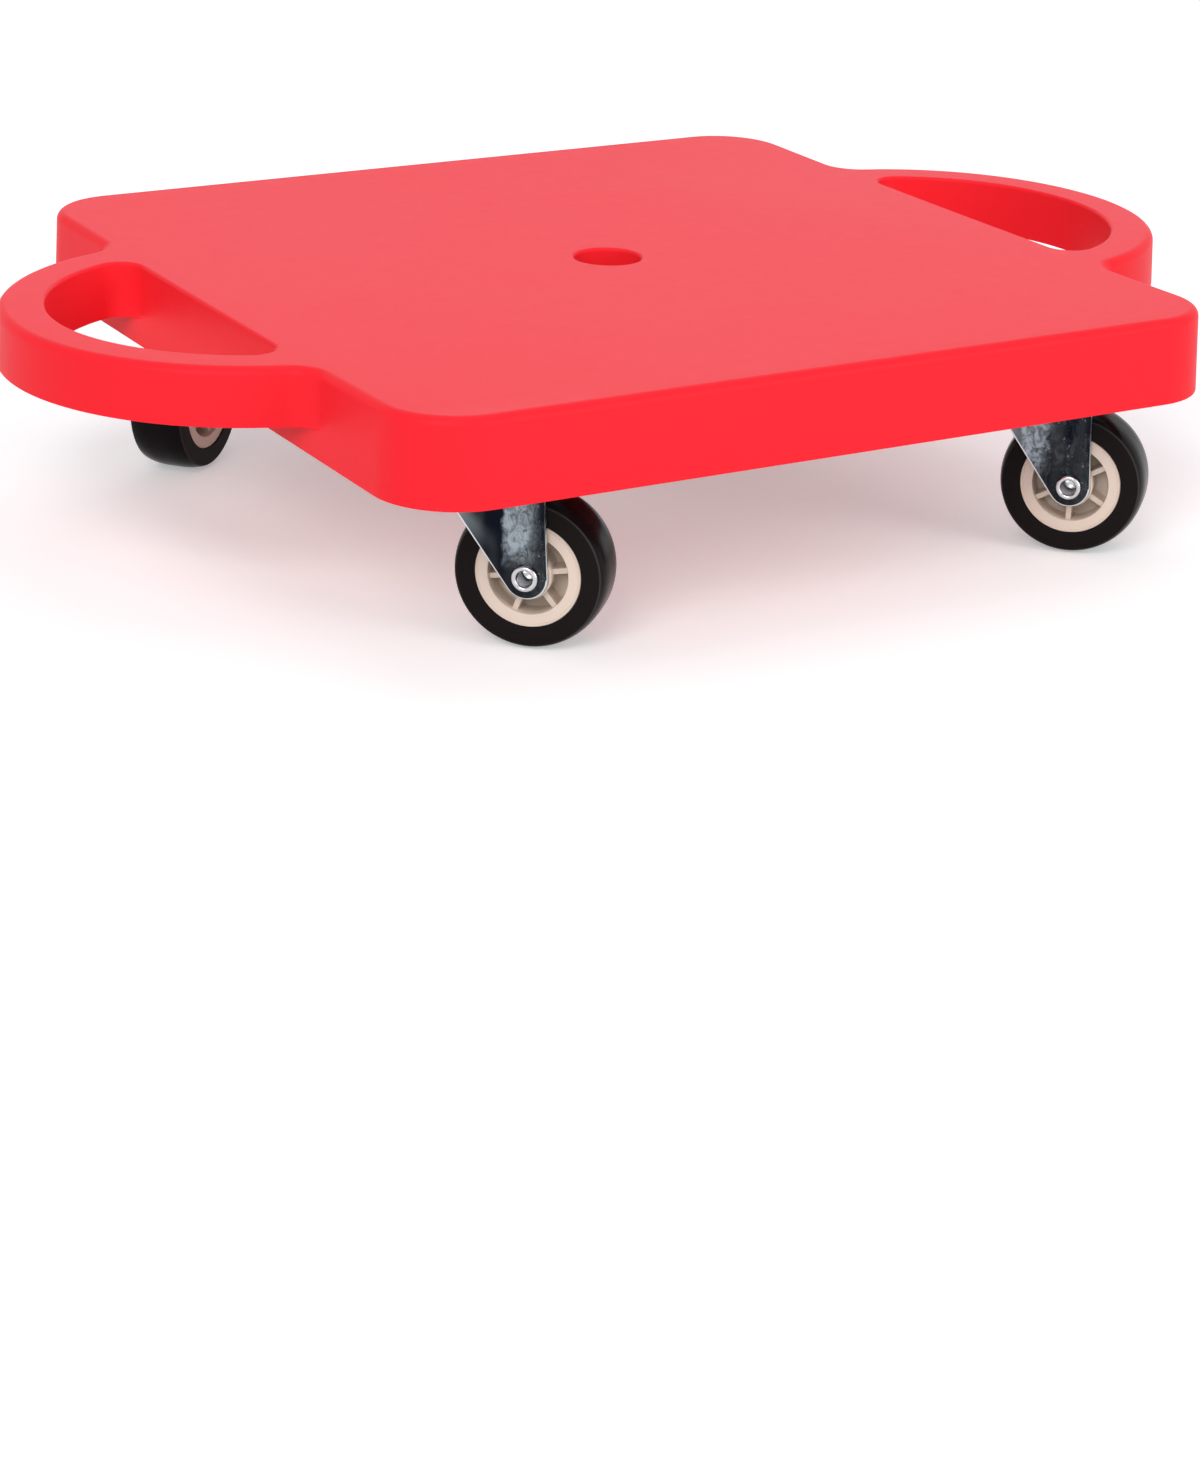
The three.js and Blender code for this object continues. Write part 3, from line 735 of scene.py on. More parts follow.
def red_plastic(looks, deck):
    """Satin moulded plastic: a fine grain, slight flow marks, and faint pale scuffs on the top face."""
    finish = Finish("red_moulded_plastic", IOR=1.2, Specular_Tint=(0.8, 0.6, 0.8, 1.0))
    place = finish.place()
    height = finish.axes(place)[2]
    top = finish.fade(height, deck.foot + deck.height - 0.4 * MM, deck.foot + deck.height - 0.1 * MM)
    cloud = finish.noise(place, 9.0, 2.0)
    mottle = finish.noise(place, 160.0, 3.0, 0.6)
    flow = finish.noise(finish.mapped(place, (3.0, 30.0, 3.0), (0, 0, math.radians(38))), 1.0, 2.0, 0.5, 0.4)
    scuff_field = finish.noise(
        finish.mapped(place, (7.0, 160.0, 7.0), (0, 0, math.radians(-41))), 1.0, 4.0, 0.6, 0.7
    )
    scuff_zone = finish.fade(finish.noise(place, 13.0, 1.0), 0.5, 0.66)
    scuffs = finish.fade(scuff_field, 0.6, 0.76) * scuff_zone * top
    haze = finish.fade(flow, 0.5, 0.72) * top
    colour_now = finish.blend(cloud, rgba(looks.red, 0.96), rgba(looks.red, 1.03))
    colour_now = finish.blend(mottle * 0.25, colour_now, rgba(looks.red, 0.9))
    pale = rgba([looks.red[0], looks.red[1] + 0.16, looks.red[2] + 0.18])
    colour_now = finish.blend(haze * 0.05 + scuffs * 0.32, colour_now, pale)
    finish.feed("Base Color", colour_now)
    finish.feed("Roughness", looks.red_gloss + cloud * 0.05 + mottle * 0.05 + scuffs * 0.12 - haze * 0.03)
    grain = finish.noise(place, 2600.0, 2.0, 0.6)
    waves = finish.noise(place, 45.0, 2.0)
    under = finish.bump(waves, 0.06 * MM)
    finish.feed("Normal", finish.bump(grain, 0.012 * MM, under=under))
    return finish.material


def cream_plastic(looks):
    """Moulded hub plastic, slightly mottled, with painted shade: darker deep inside the recess."""
    finish = Finish("cream_hub_plastic", IOR=1.48)
    place = finish.place(own=True)
    cloud = finish.noise(place, 90.0, 2.0)
    speck = finish.fade(finish.noise(place, 900.0, 2.0, 0.6), 0.66, 0.78)
    depth = finish.axes(place)[2]
    # Painted shade: the colour darkens from the rim's face down into the recess, where shade falls
    face = finish.fade(depth * depth, (5.0 * MM) ** 2, (9.3 * MM) ** 2)
    colour_now = finish.blend(face, rgba(looks.cream, 0.74), rgba(looks.cream))
    colour_now = finish.blend(cloud * 0.3, colour_now, rgba(looks.cream, 0.9))
    colour_now = finish.blend(speck * 0.12, colour_now, rgba(looks.cream, 0.6))
    finish.feed("Base Color", colour_now)
    finish.feed("Roughness", 0.42 + cloud * 0.12)
    grain = finish.noise(place, 2400.0, 2.0, 0.6)
    finish.feed("Normal", finish.bump(grain, 0.01 * MM, under=finish.bump(cloud, 0.05 * MM)))
    return finish.material


def black_tyre(looks, wheel):
    """Smooth dark tyre: fine turning marks round the tread, a duller face with a painted reddish reflection,
    a painted highlight line round the shoulder and a little dust.
    """
    finish = Finish("black_tyre", IOR=1.13)
    place = finish.place(own=True)
    x, y, depth = finish.axes(place)
    half, shoulder = wheel.width / 2, wheel.radius - wheel.crown
    face = finish.fade(depth * depth, (half - 0.7 * MM) ** 2, (half - 0.2 * MM) ** 2)
    rings = finish.noise(finish.mapped(place, (20.0, 20.0, 1500.0)), 1.0, 2.0)
    cloud = finish.noise(place, 120.0, 3.0)
    dust = finish.fade(finish.noise(place, 700.0, 4.0, 0.7), 0.62, 0.8)
    colour_now = finish.blend(cloud * 0.5, rgba(looks.black), rgba(looks.black, 1.7))
    # Painted reflection: the face is tinted reddish, as if it mirrored the red deck; its higher roughness
    # below is the duller face's own
    colour_now = finish.blend(face * 0.6, colour_now, rgba([0.0135, 0.0095, 0.0095]))
    # Painted highlight: a thin lighter line round the shoulder, where the face meets the tread
    lip = finish.fade(x * x + y * y, (shoulder - 0.45 * MM) ** 2, (shoulder - 0.2 * MM) ** 2)
    lip = lip * (1 - finish.fade(x * x + y * y, (shoulder + 0.05 * MM) ** 2, (shoulder + 0.25 * MM) ** 2))
    colour_now = finish.blend(lip * 0.5, colour_now, rgba([0.07, 0.066, 0.068]))
    colour_now = finish.blend(dust * 0.05, colour_now, rgba([0.2, 0.19, 0.18]))
    finish.feed("Base Color", colour_now)
    finish.feed("Roughness", 0.16 + cloud * 0.08 + face * 0.26 + dust * 0.1)
    under = finish.bump(rings, 0.01 * MM)
    finish.feed("Normal", finish.bump(cloud, 0.03 * MM, under=under))
    return finish.material


def fork_steel(looks, name, caster, axle, slant, shoulder):
    """Plated sheet: the legs' faces polished, with painted reflections in their colour: dark, with a pale
    mottled band, a painted sheen near the slanted edge and painted highlights along the rounded edges. The
    rest is bright steel.
    """
    finish = Finish("fork_plating_" + name, Metallic=1.0)
    place = finish.place(own=True)
    x, y, z = finish.axes(place)
    axle_x, axle_z = axle
    start, end = (edge * MM for edge in REFLECTION_BANDS[name])
    waver = finish.noise(place, 150.0) * 4 * MM - 2 * MM
    across = x + waver
    # Painted reflection: the dark leg faces and the paler band, darkest ahead of it and lighter behind it,
    # stand in for the surroundings mirrored in the chrome; the swirl and spangle inside are the plating's own
    # mottle
    reflection_band = finish.fade(across, start - 0.7 * MM, start + 0.7 * MM)
    reflection_band = reflection_band * (1 - finish.fade(across, end - 3 * MM, end + 3 * MM))
    reflection_band = reflection_band * finish.fade(z + waver, axle_z + 1 * MM, axle_z + 11 * MM)
    after = finish.fade(across, start, end)
    swirl = finish.noise(finish.mapped(place, (1.0, 1.0, 0.6)), 300.0, 5.0, 0.72, 1.2)
    spangle = finish.noise(place, 300.0, 3.0, 0.6, 1.6)
    streaks = finish.noise(finish.mapped(place, (1.0, 1.0, 0.25)), 130.0, 1.0)
    # How far in from the slanted edge
    across_axle, above_axle = x - axle_x, z - axle_z
    inward = caster.leg_end - across_axle * math.cos(slant) - above_axle * math.sin(slant)
    # Painted sheen: the leg is painted paler near its slanted upper edge
    pale = 1 - finish.fade(inward + waver, 0.5 * MM, 7 * MM)
    pale = pale * finish.fade(z, axle_z + 7 * MM, axle_z + 22 * MM)
    outer = caster.inner / 2 + caster.sheet
    leg_face = finish.fade(y * y, (outer - 0.3 * MM) ** 2, (outer - 0.05 * MM) ** 2)
    leg_face = leg_face * (1 - finish.fade(z, shoulder - 1 * MM, shoulder + 1 * MM))
    # Painted highlight: the rounded edge is painted bright down the slant and round the leg's end, where it
    # catches the light
    reach = across_axle * across_axle + above_axle * above_axle
    past_slant = above_axle * math.cos(slant) - across_axle * math.sin(slant)
    end_highlight = finish.fade(reach, (caster.leg_end - 0.65 * MM) ** 2, (caster.leg_end - 0.4 * MM) ** 2)
    end_highlight = end_highlight * finish.fade(past_slant, -0.4 * MM, 0.4 * MM)
    end_highlight = end_highlight * (1 - finish.fade(above_axle, -0.6 * MM, 0.4 * MM))
    slant_highlight = 1 - finish.fade(inward, 0.35 * MM, 0.65 * MM)
    bright_steel_and_highlights = 1 - leg_face * (1 - end_highlight) * (1 - slant_highlight)
    # Painted reflection: the leg face's dark tone, lifted by streaks, by the painted sheen and by lighter
    # mottling behind the band
    painted_reflection_tone = finish.blend(finish.fade(streaks, 0.42, 0.66), rgba(looks.dark), rgba(looks.cloudy, 0.12))
    painted_reflection_tone = finish.blend(pale * 0.65, painted_reflection_tone, rgba(looks.cloudy, 1.2))
    painted_reflection_tone = finish.blend(finish.fade(swirl, 0.46, 0.7) * after * 0.4, painted_reflection_tone, rgba(looks.cloudy, 0.45))
    mottled = finish.fade(swirl, 0.36, 0.62)
    reflection_band_tone = finish.blend(mottled, rgba(looks.cloudy, 0.55), rgba(looks.cloudy, 1.7))
    reflection_band_tone = finish.blend(finish.fade(spangle, 0.54, 0.64) * 0.6, reflection_band_tone, rgba(looks.dark, 4.0))
    colour_now = finish.blend(reflection_band * 0.92, painted_reflection_tone, reflection_band_tone)
    flecks = finish.fade(finish.noise(place, 520.0, 3.0, 0.6, 1.4), 0.64, 0.72) * after
    colour_now = finish.blend(flecks * 0.4, colour_now, rgba(looks.bright, 0.7))
    steel = finish.blend(swirl, rgba(looks.bright, 1.0), rgba(looks.bright, 1.35))
    colour_now = finish.blend(bright_steel_and_highlights, colour_now, steel)
    finish.feed("Base Color", colour_now)
    finish.feed("Roughness", 0.13 + reflection_band * swirl * 0.3 + spangle * 0.06 + bright_steel_and_highlights * 0.12)
    under = finish.bump(swirl, 0.03 * MM, 0.5)
    finish.feed("Normal", finish.bump(spangle, 0.05 * MM, 0.4, under=under))
    return finish.material


def plated_steel(name, tone, roughness, brushed=False):
    """Zinc plated steel: cloudy tone, fine scratches and small dull spots."""
    finish = Finish(name, Metallic=1.0)
    place = finish.place(own=True)
    scratched, scratch_depth = (0.12, 0.006) if brushed else (0.05, 0.003)
    cloud = finish.noise(place, 210.0)
    scratch = finish.noise(finish.mapped(place, (60.0, 2200.0, 60.0), (0, 0, 0.5)), 1.0, 2.0)
    spots = finish.fade(finish.noise(place, 640.0, roughness=0.6), 0.6, 0.74)
    colour_now = finish.blend(cloud, rgba(tone, 0.82), rgba(tone, 1.12))
    colour_now = finish.blend(spots * 0.35, colour_now, rgba(tone, 0.5))
    finish.feed("Base Color", colour_now)
    finish.feed("Roughness", roughness + cloud * 0.1 + spots * 0.12 + scratch * scratched)
    under = finish.bump(scratch, scratch_depth * MM)
    finish.feed("Normal", finish.bump(cloud, 0.02 * MM, under=under))
    return finish.material


# The deck

# Rows of points from the deck's front to its middle, along which the top can sag
SAG_ROWS = 8


def deck_arcs(deck):
    """Plan of the deck without its handles, at the sharp top edge."""
    return square_arcs(deck.width / 2 - deck.draft, deck.corner, DECK_CORNER_STEPS)


def handle_middle(deck):
    """The centre of the right handle's arcs, and where its root meets the deck's side."""
    return deck.width / 2 - deck.handle_inset, deck.width / 2 - deck.draft - SEAM


def handle_arcs(deck):
    """Plan of the right handle: a round loop, a hollow fillet at each end and a root inside the deck."""
    centre, side = handle_middle(deck)
    root, fillet = deck.handle_root, deck.handle_fillet
    fillet_x = side + fillet
    fillet_y = math.sqrt((deck.handle_outer + fillet) ** 2 - (fillet_x - centre) ** 2)
    meet = math.degrees(math.atan2(fillet_y, fillet_x - centre))
    return [
        arc(side - 3 * root, -fillet_y, root, 180, 270, 8),
        arc(side - root, -fillet_y, root, 270, 360, 8),
        arc(fillet_x, -fillet_y, fillet, 180, 180 - meet, 16, True),
        arc(centre, 0, deck.handle_outer, -meet, meet, 90),
        arc(fillet_x, fillet_y, fillet, meet - 180, -180, 16, True),
        arc(side - root, fillet_y, root, 0, 90, 8),
        arc(side - 3 * root, fillet_y, root, 90, 180, 8),
    ]


def slot_arcs(deck):
    """Plan of the right handle's slot: straight along the deck's side, round along the handle."""
    centre, side = handle_middle(deck)
    corner_x = side + deck.slot_corner
    corner_y = math.sqrt((deck.handle_inner - deck.slot_corner) ** 2 - (corner_x - centre) ** 2)
    tip = math.degrees(math.atan2(corner_y, corner_x - centre))
    return [
        arc(corner_x, -corner_y, deck.slot_corner, 180, 360 - tip, 16),
        arc(centre, 0, deck.handle_inner, -tip, tip, 80),
        arc(corner_x, corner_y, deck.slot_corner, tip, 180, 16),
    ]


def lean(deck, height):
    """Growth of an outline at a height above the deck's foot, by its draft."""
    return deck.draft * (1 - height / deck.height)


def quarter(steps):
    """Sine and cosine along a quarter turn."""
    return [(math.sin(i / steps * math.pi / 2), math.cos(i / steps * math.pi / 2)) for i in range(steps + 1)]


def brim_levels(deck, sign, rounding, start=0.0):
    """Levels of an outside that rounds over at the top (sign 1), or of a cutter that flares there (-1)."""
    levels = [(sign * lean(deck, start), deck.foot + start)]
    for sine, cosine in quarter(8):
        height = deck.height - rounding * (1 - sine)
        growth = lean(deck, height) - rounding * (1 - cosine)
        levels.append((sign * growth, deck.foot + height))
    return levels


def ceiling_levels(deck, low):
    """Levels of a hollow one wall inside an outside, with a filleted ceiling."""
    ceiling, fillet = deck.height - deck.top_wall, deck.ceiling_fillet
    levels = [(lean(deck, low) - deck.wall, deck.foot + low)]
    for sine, cosine in quarter(4):
        height = ceiling - fillet * (1 - sine)
        levels.append((lean(deck, height) - deck.wall - fillet * (1 - cosine), deck.foot + height))
    return levels


def both_sides(piece):
    """A piece and its twin on the other side of the deck."""
    return [piece, moved(copied(piece, piece.name + "_twin"), Matrix.Rotation(math.pi, 4, "Z"))]


def handle_loop(deck):
    """One handle, its foot rounded, with the slot cut out of it from above."""
    rise = deck.height - deck.handle_height
    loop = tower("handle", handle_arcs(deck), brim_levels(deck, 1, deck.edge, rise))
    levels = brim_levels(deck, -1, deck.brim, rise)
    levels.insert(0, (levels[0][0], levels[0][1] - OVERRUN))
    levels.append((levels[-1][0], levels[-1][1] + OVERRUN))
    combine(loop, tower("slot_cutter", slot_arcs(deck), levels[::-1]), "DIFFERENCE")
    return round_edges(loop, deck.foot_edge, angle=SHARP * 2, test=below(deck.foot + rise))


def deck_hollow(deck):
    """The hollow under the deck, clear of the centre hole's tube."""
    cutter = tower("hollow", deck_arcs(deck), ceiling_levels(deck, -OVERRUN))
    low, high = deck.foot - 2 * OVERRUN, deck.foot + deck.height
    return combine(cutter, rod("tube", deck.hole + deck.tube_wall, low, high, ROUND["tube"]), "DIFFERENCE")


def handle_hollow(deck):
    """The hollow under one handle, clear of the deck's side and of the slot's wall."""
    rise = deck.height - deck.handle_height
    low, high = rise - 2 * OVERRUN, deck.height - deck.top_wall + OVERRUN
    cutter = tower("hollow", handle_arcs(deck), ceiling_levels(deck, rise - OVERRUN))
    step = 8 * SEAM
    side_levels = [(lean(deck, at) + step, deck.foot + at) for at in (low, high)]
    combine(cutter, tower("deck_side", deck_arcs(deck), side_levels), "DIFFERENCE")
    wall_levels = [(deck.wall - lean(deck, at), deck.foot + at) for at in (high, low)]
    return combine(cutter, tower("slot_wall", slot_arcs(deck), wall_levels), "DIFFERENCE")


def hole_cutter(deck):
    """The centre hole with its flared brim."""
    top, brim = deck.foot + deck.height, deck.brim
    profile = [(0, deck.foot - OVERRUN), (deck.hole, deck.foot - OVERRUN)]
    profile += [(deck.hole + brim * (1 - c), top - brim * (1 - s)) for s, c in quarter(6)]
    profile += [(deck.hole + brim, top + OVERRUN), (0, top + OVERRUN)]
    return turned("hole_cutter", profile, ROUND["hole"])


def deck_ribs(deck, caster):
    """Ribs along and across the deck and inside the handles, with rounded free edges."""
    low = deck.foot + deck.rib_rise
    high = deck.foot + deck.height - deck.top_wall / 2
    half = deck.rib / 2
    reach = deck.width / 2 - deck.draft - deck.wall / 2
    inset = deck.width / 2 - deck.caster_inset - caster.plate / 2 - deck.pad_wall / 2
    bars = []
    for place in (-inset, -deck.rib_offset, 0.0, deck.rib_offset, inset):
        bars.append(bar("rib", (-reach, place - half, low), (reach, place + half, high), deck.rib_edge))
        bars.append(bar("rib", (place - half, -reach, low), (place + half, reach, high), deck.rib_edge))
    low += deck.height - deck.handle_height + deck.handle_rib_rise - deck.rib_rise
    near, far = deck.handle_inner + deck.wall / 2, deck.handle_outer - deck.wall / 2
    stand = Matrix.Translation((handle_middle(deck)[0], 0, 0))
    for i in range(deck.handle_ribs):
        angle = math.radians(104) * (i / (deck.handle_ribs - 1) - 0.5)
        rib = bar("rib", (near, -half, low), (far, half, high), deck.rib_edge)
        bars += both_sides(moved(rib, stand @ Matrix.Rotation(angle, 4, "Z")))
    return bars


def screw_places(caster):
    """Where a plate's four screws stand, from its middle."""
    half = caster.plate / 2 - caster.screw_inset
    return [(half, -half), (half, half), (-half, half), (-half, -half)]


def deck_pads(deck, caster, x, y):
    """The frame, the four bosses and the cross that carry one mounting plate."""
    low = deck.foot + deck.pad_recess
    high = deck.foot + deck.height - deck.top_wall / 2
    outer, inner = caster.plate / 2 + deck.pad_wall, caster.plate / 2
    middle = inner - deck.pad_wall / 2
    frame_box = bar("pad", (x - outer, y - outer, low), (x + outer, y + outer, high), deck.pad_edge)
    room = bar("room", (x - middle, y - middle, low - OVERRUN), (x + middle, y + middle, high + OVERRUN))
    parts = [combine(frame_box, room, "DIFFERENCE")]
    for dx, dy in screw_places(caster):
        parts.append(rod("boss", deck.boss, low, high, ROUND["boss"], x + dx, y + dy, deck.boss_edge))
    half, rise = deck.rib / 2, low + deck.pad_relief
    parts.append(bar("cross", (x - inner, y - half, rise), (x + inner, y + half, high), deck.rib_edge))
    parts.append(bar("cross", (x - half, y - inner, rise), (x + half, y + inner, high), deck.rib_edge))
    return parts


def sag_top(deck, piece):
    """Lets the top and the handles hang through a little between front and rear, by a displacement."""
    edit(piece)
    half = deck.width / 2
    for i in range(1, 2 * SAG_ROWS):
        bpy.ops.mesh.select_all(action="SELECT")
        bpy.ops.mesh.bisect(plane_co=(0, half * (i / SAG_ROWS - 1), 0), plane_no=(0, 1, 0))
    leave_edit()
    side, ceiling = half - deck.draft - SEAM, deck.foot + deck.height - deck.top_wall - SEAM
    handle_foot = deck.foot + deck.height - deck.handle_height - SEAM
    group = piece.vertex_groups.new(name="sag")
    for vertex in piece.data.vertices:
        x, y, z = vertex.co
        if z > ceiling or (abs(x) > side and z > handle_foot):
            weight = max(0.0, 1 - (y / half) ** 2)
            group.add([vertex.index], weight, "REPLACE")
    modified(piece, "DISPLACE", direction="Z", mid_level=0.0, strength=-deck.sag, vertex_group=group.name)
    piece.vertex_groups.remove(piece.vertex_groups["sag"])


def make_deck(context):
    """The deck: a moulding with two handles, hollow underneath, with ribs and caster pads inside."""
    scene = context.scene
    deck, caster = scene.deck_sizes, scene.caster_sizes
    piece = tower("deck_moulding", deck_arcs(deck), brim_levels(deck, 1, deck.edge))
    for loop in both_sides(handle_loop(deck)):
        combine(piece, loop, "UNION")
    hollows = [deck_hollow(deck), *both_sides(handle_hollow(deck))]
    combine(piece, joined("hollows", hollows), "DIFFERENCE")
    inside = deck_ribs(deck, caster)
    cuts = [hole_cutter(deck)]
    for name in CASTERS:
        x, y, _ = JOINTS["swivel_" + name]["pos_m"]
        inside += deck_pads(deck, caster, x, y)
        low, radius = deck.foot + deck.pad_recess, caster.screw + caster.gap / 2
        for dx, dy in screw_places(caster):
            cut = rod("pilot", radius, low - OVERRUN, low + deck.pilot, ROUND["pilot"], x + dx, y + dy)
            cuts.append(cut)
    combine(piece, joined("inside", inside), "UNION", overlapping=True)
    combine(piece, joined("cuts", cuts), "DIFFERENCE")
    tidy_mesh(piece)
    round_edges(piece, deck.foot_edge, angle=SHARP * 2, test=below(deck.foot))
    sag_top(deck, piece)
    smooth(piece)
    dress(piece, red_plastic(scene.board_finishes, deck), "board", ["deck"])


# The casters


def sleeve(near, far, low, high):
    """The closed profile of a ring or a tube, from radius to radius and from height to height."""
    return [(near, low), (far, low), (far, high), (near, high), (near, low)]


def heights(scene):
    """Heights of a caster's pieces above the floor, from the top down."""
    deck, caster = scene.deck_sizes, scene.caster_sizes
    plate_top = deck.foot + deck.pad_recess
    plate_bottom = plate_top - caster.plate_thick
    ball = plate_bottom - caster.gap - caster.ball
    crown_top = ball - caster.ball - caster.gap
    return plate_top, plate_bottom, ball, crown_top, crown_top - caster.sheet


def make_plates(context):
    """A plate with round corners, a lip round the balls and holes for the pin and the screws."""
    scene = context.scene
    caster = scene.caster_sizes
    top, bottom, *_ = heights(scene)
    arcs = square_arcs(caster.plate / 2, caster.plate_corner, PLATE_CORNER_STEPS)
    plate = tower("plate", arcs, [(0, bottom), (0, top)])
    wall, drop = caster.lip_wall, caster.lip_height
    inner = caster.lip - wall
    low, middle = bottom - drop, bottom + caster.plate_thick / 2
    profile = [(inner, low), (caster.lip, low), (caster.lip + wall, middle), (inner, middle), (inner, low)]
    lip = turned("lip", profile, ROUND["tube"], [(0.5 * MM, 3, (0, 1))])
    combine(plate, lip, "UNION")
    holes = [rod("hole", caster.pin + caster.gap, bottom - 2 * OVERRUN, top + OVERRUN, ROUND["boss"])]
    for place in screw_places(caster):
        radius = caster.screw + caster.gap
        holes.append(rod("hole", radius, bottom - OVERRUN, top + OVERRUN, ROUND["screw"], *place))
    combine(plate, joined("holes", holes), "DIFFERENCE")
    tidy_mesh(plate)
    round_edges(plate, caster.plate_edge, angle=SHARP * 2)
    smooth(plate)
    finish = plated_steel("plate_zinc", scene.board_finishes.zinc, 0.3, brushed=True)
    copies(plate, "pressed_plate", finish, "board", pin_place)


def make_screws(context):
    """A screw with a pan head and a cross recess, four to a plate."""
    scene = context.scene
    caster = scene.caster_sizes
    _, head_top, *_ = heights(scene)
    foot = head_top - caster.screw_head_height
    head, shank, tip = caster.screw_head, caster.screw, head_top + caster.screw_length
    profile = [(0, foot), (head * 0.7, foot), (head, head_top - 0.5 * MM), (head, head_top)]
    profile += [(shank, head_top), (shank, tip - shank), (0, tip)]
    screw = turned("screw", profile, ROUND["screw"], [(0.9 * MM, 4, (1,)), (0.25 * MM, 2, (2,))])
    arm, width = caster.recess_length / 2, caster.recess_width / 2
    deep = foot + caster.recess_depth
    low = foot - OVERRUN
    arms = [bar("arm", (-x, -y, low), (x, y, deep)) for x, y in ((arm, width), (width, arm))]
    combine(screw, joined("recess", arms), "DIFFERENCE", overlapping=True)
    smooth(screw)
    remember_place(screw)
    finish = plated_steel("screw_zinc", rgba(scene.board_finishes.zinc, 1.1), 0.24)
    for name in CASTERS:
        for i, (x, y) in enumerate(screw_places(caster), 1):
            place = pin_place(name) @ Matrix.Translation((x, y, 0)) @ Matrix.Rotation(i * SCREW_TURN, 4, "Z")
            twin = moved(copied(screw, f"cross_screw_{name}_{i}"), place)
            dress(twin, finish, "board", [f"mounting_screw_{name}_{i}"])
    bpy.data.objects.remove(screw)


def make_pins(context):
    """A rivet with both of its ends formed, through plate and fork."""
    scene = context.scene
    caster = scene.caster_sizes
    plate_top, _, _, _, crown_bottom = heights(scene)
    head, height = caster.pin_head, caster.pin_head_height
    foot_top = crown_bottom - caster.gap
    foot, top = foot_top - height, plate_top + height
    flat, half = head * 0.72, height / 2
    profile = [(0, foot), (flat, foot), (head, foot + half), (head, foot_top), (caster.pin, foot_top)]
    profile += [(caster.pin, plate_top), (head, plate_top), (head, plate_top + half), (flat, top), (0, top)]
    pin = turned("pin", profile, ROUND["pin"], [(0.8 * MM, 4, (1, 2, 7, 8)), (0.2 * MM, 2, (3, 6))])
    smooth(pin)
    finish = plated_steel("pin_zinc", rgba(scene.board_finishes.zinc, 1.05), 0.28)
    copies(pin, "formed_pin", finish, "board", pin_place)


def make_cages(context):
    """The ring that keeps a bearing's balls apart, and the balls."""
    scene = context.scene
    caster = scene.caster_sizes
    _, _, ball_z, _, _ = heights(scene)
    half, thick = caster.cage_width / 2, caster.cage_thick / 2
    near, far = caster.ball_circle - half, caster.ball_circle + half
    profile = sleeve(near, far, ball_z - thick, ball_z + thick)
    ring = turned("ring", profile, ROUND["ring"], [(0.3 * MM, 2, range(4))])
    balls = []
    for i in range(caster.balls):
        angle = 2 * math.pi * i / caster.balls
        x, y = caster.ball_circle * math.cos(angle), caster.ball_circle * math.sin(angle)
        bpy.ops.object.select_all(action="DESELECT")
        bpy.ops.mesh.primitive_uv_sphere_add(
            segments=28, ring_count=16, radius=caster.ball, location=(x, y, ball_z)
        )
        balls.append(begun("ball"))
    combine(ring, joined("balls", balls), "UNION")
    smooth(ring)
    finish = plated_steel("bearing_steel", rgba(scene.board_finishes.zinc, 0.95), 0.2)
    copies(ring, "caged_balls", finish, "swivel", fork_place)


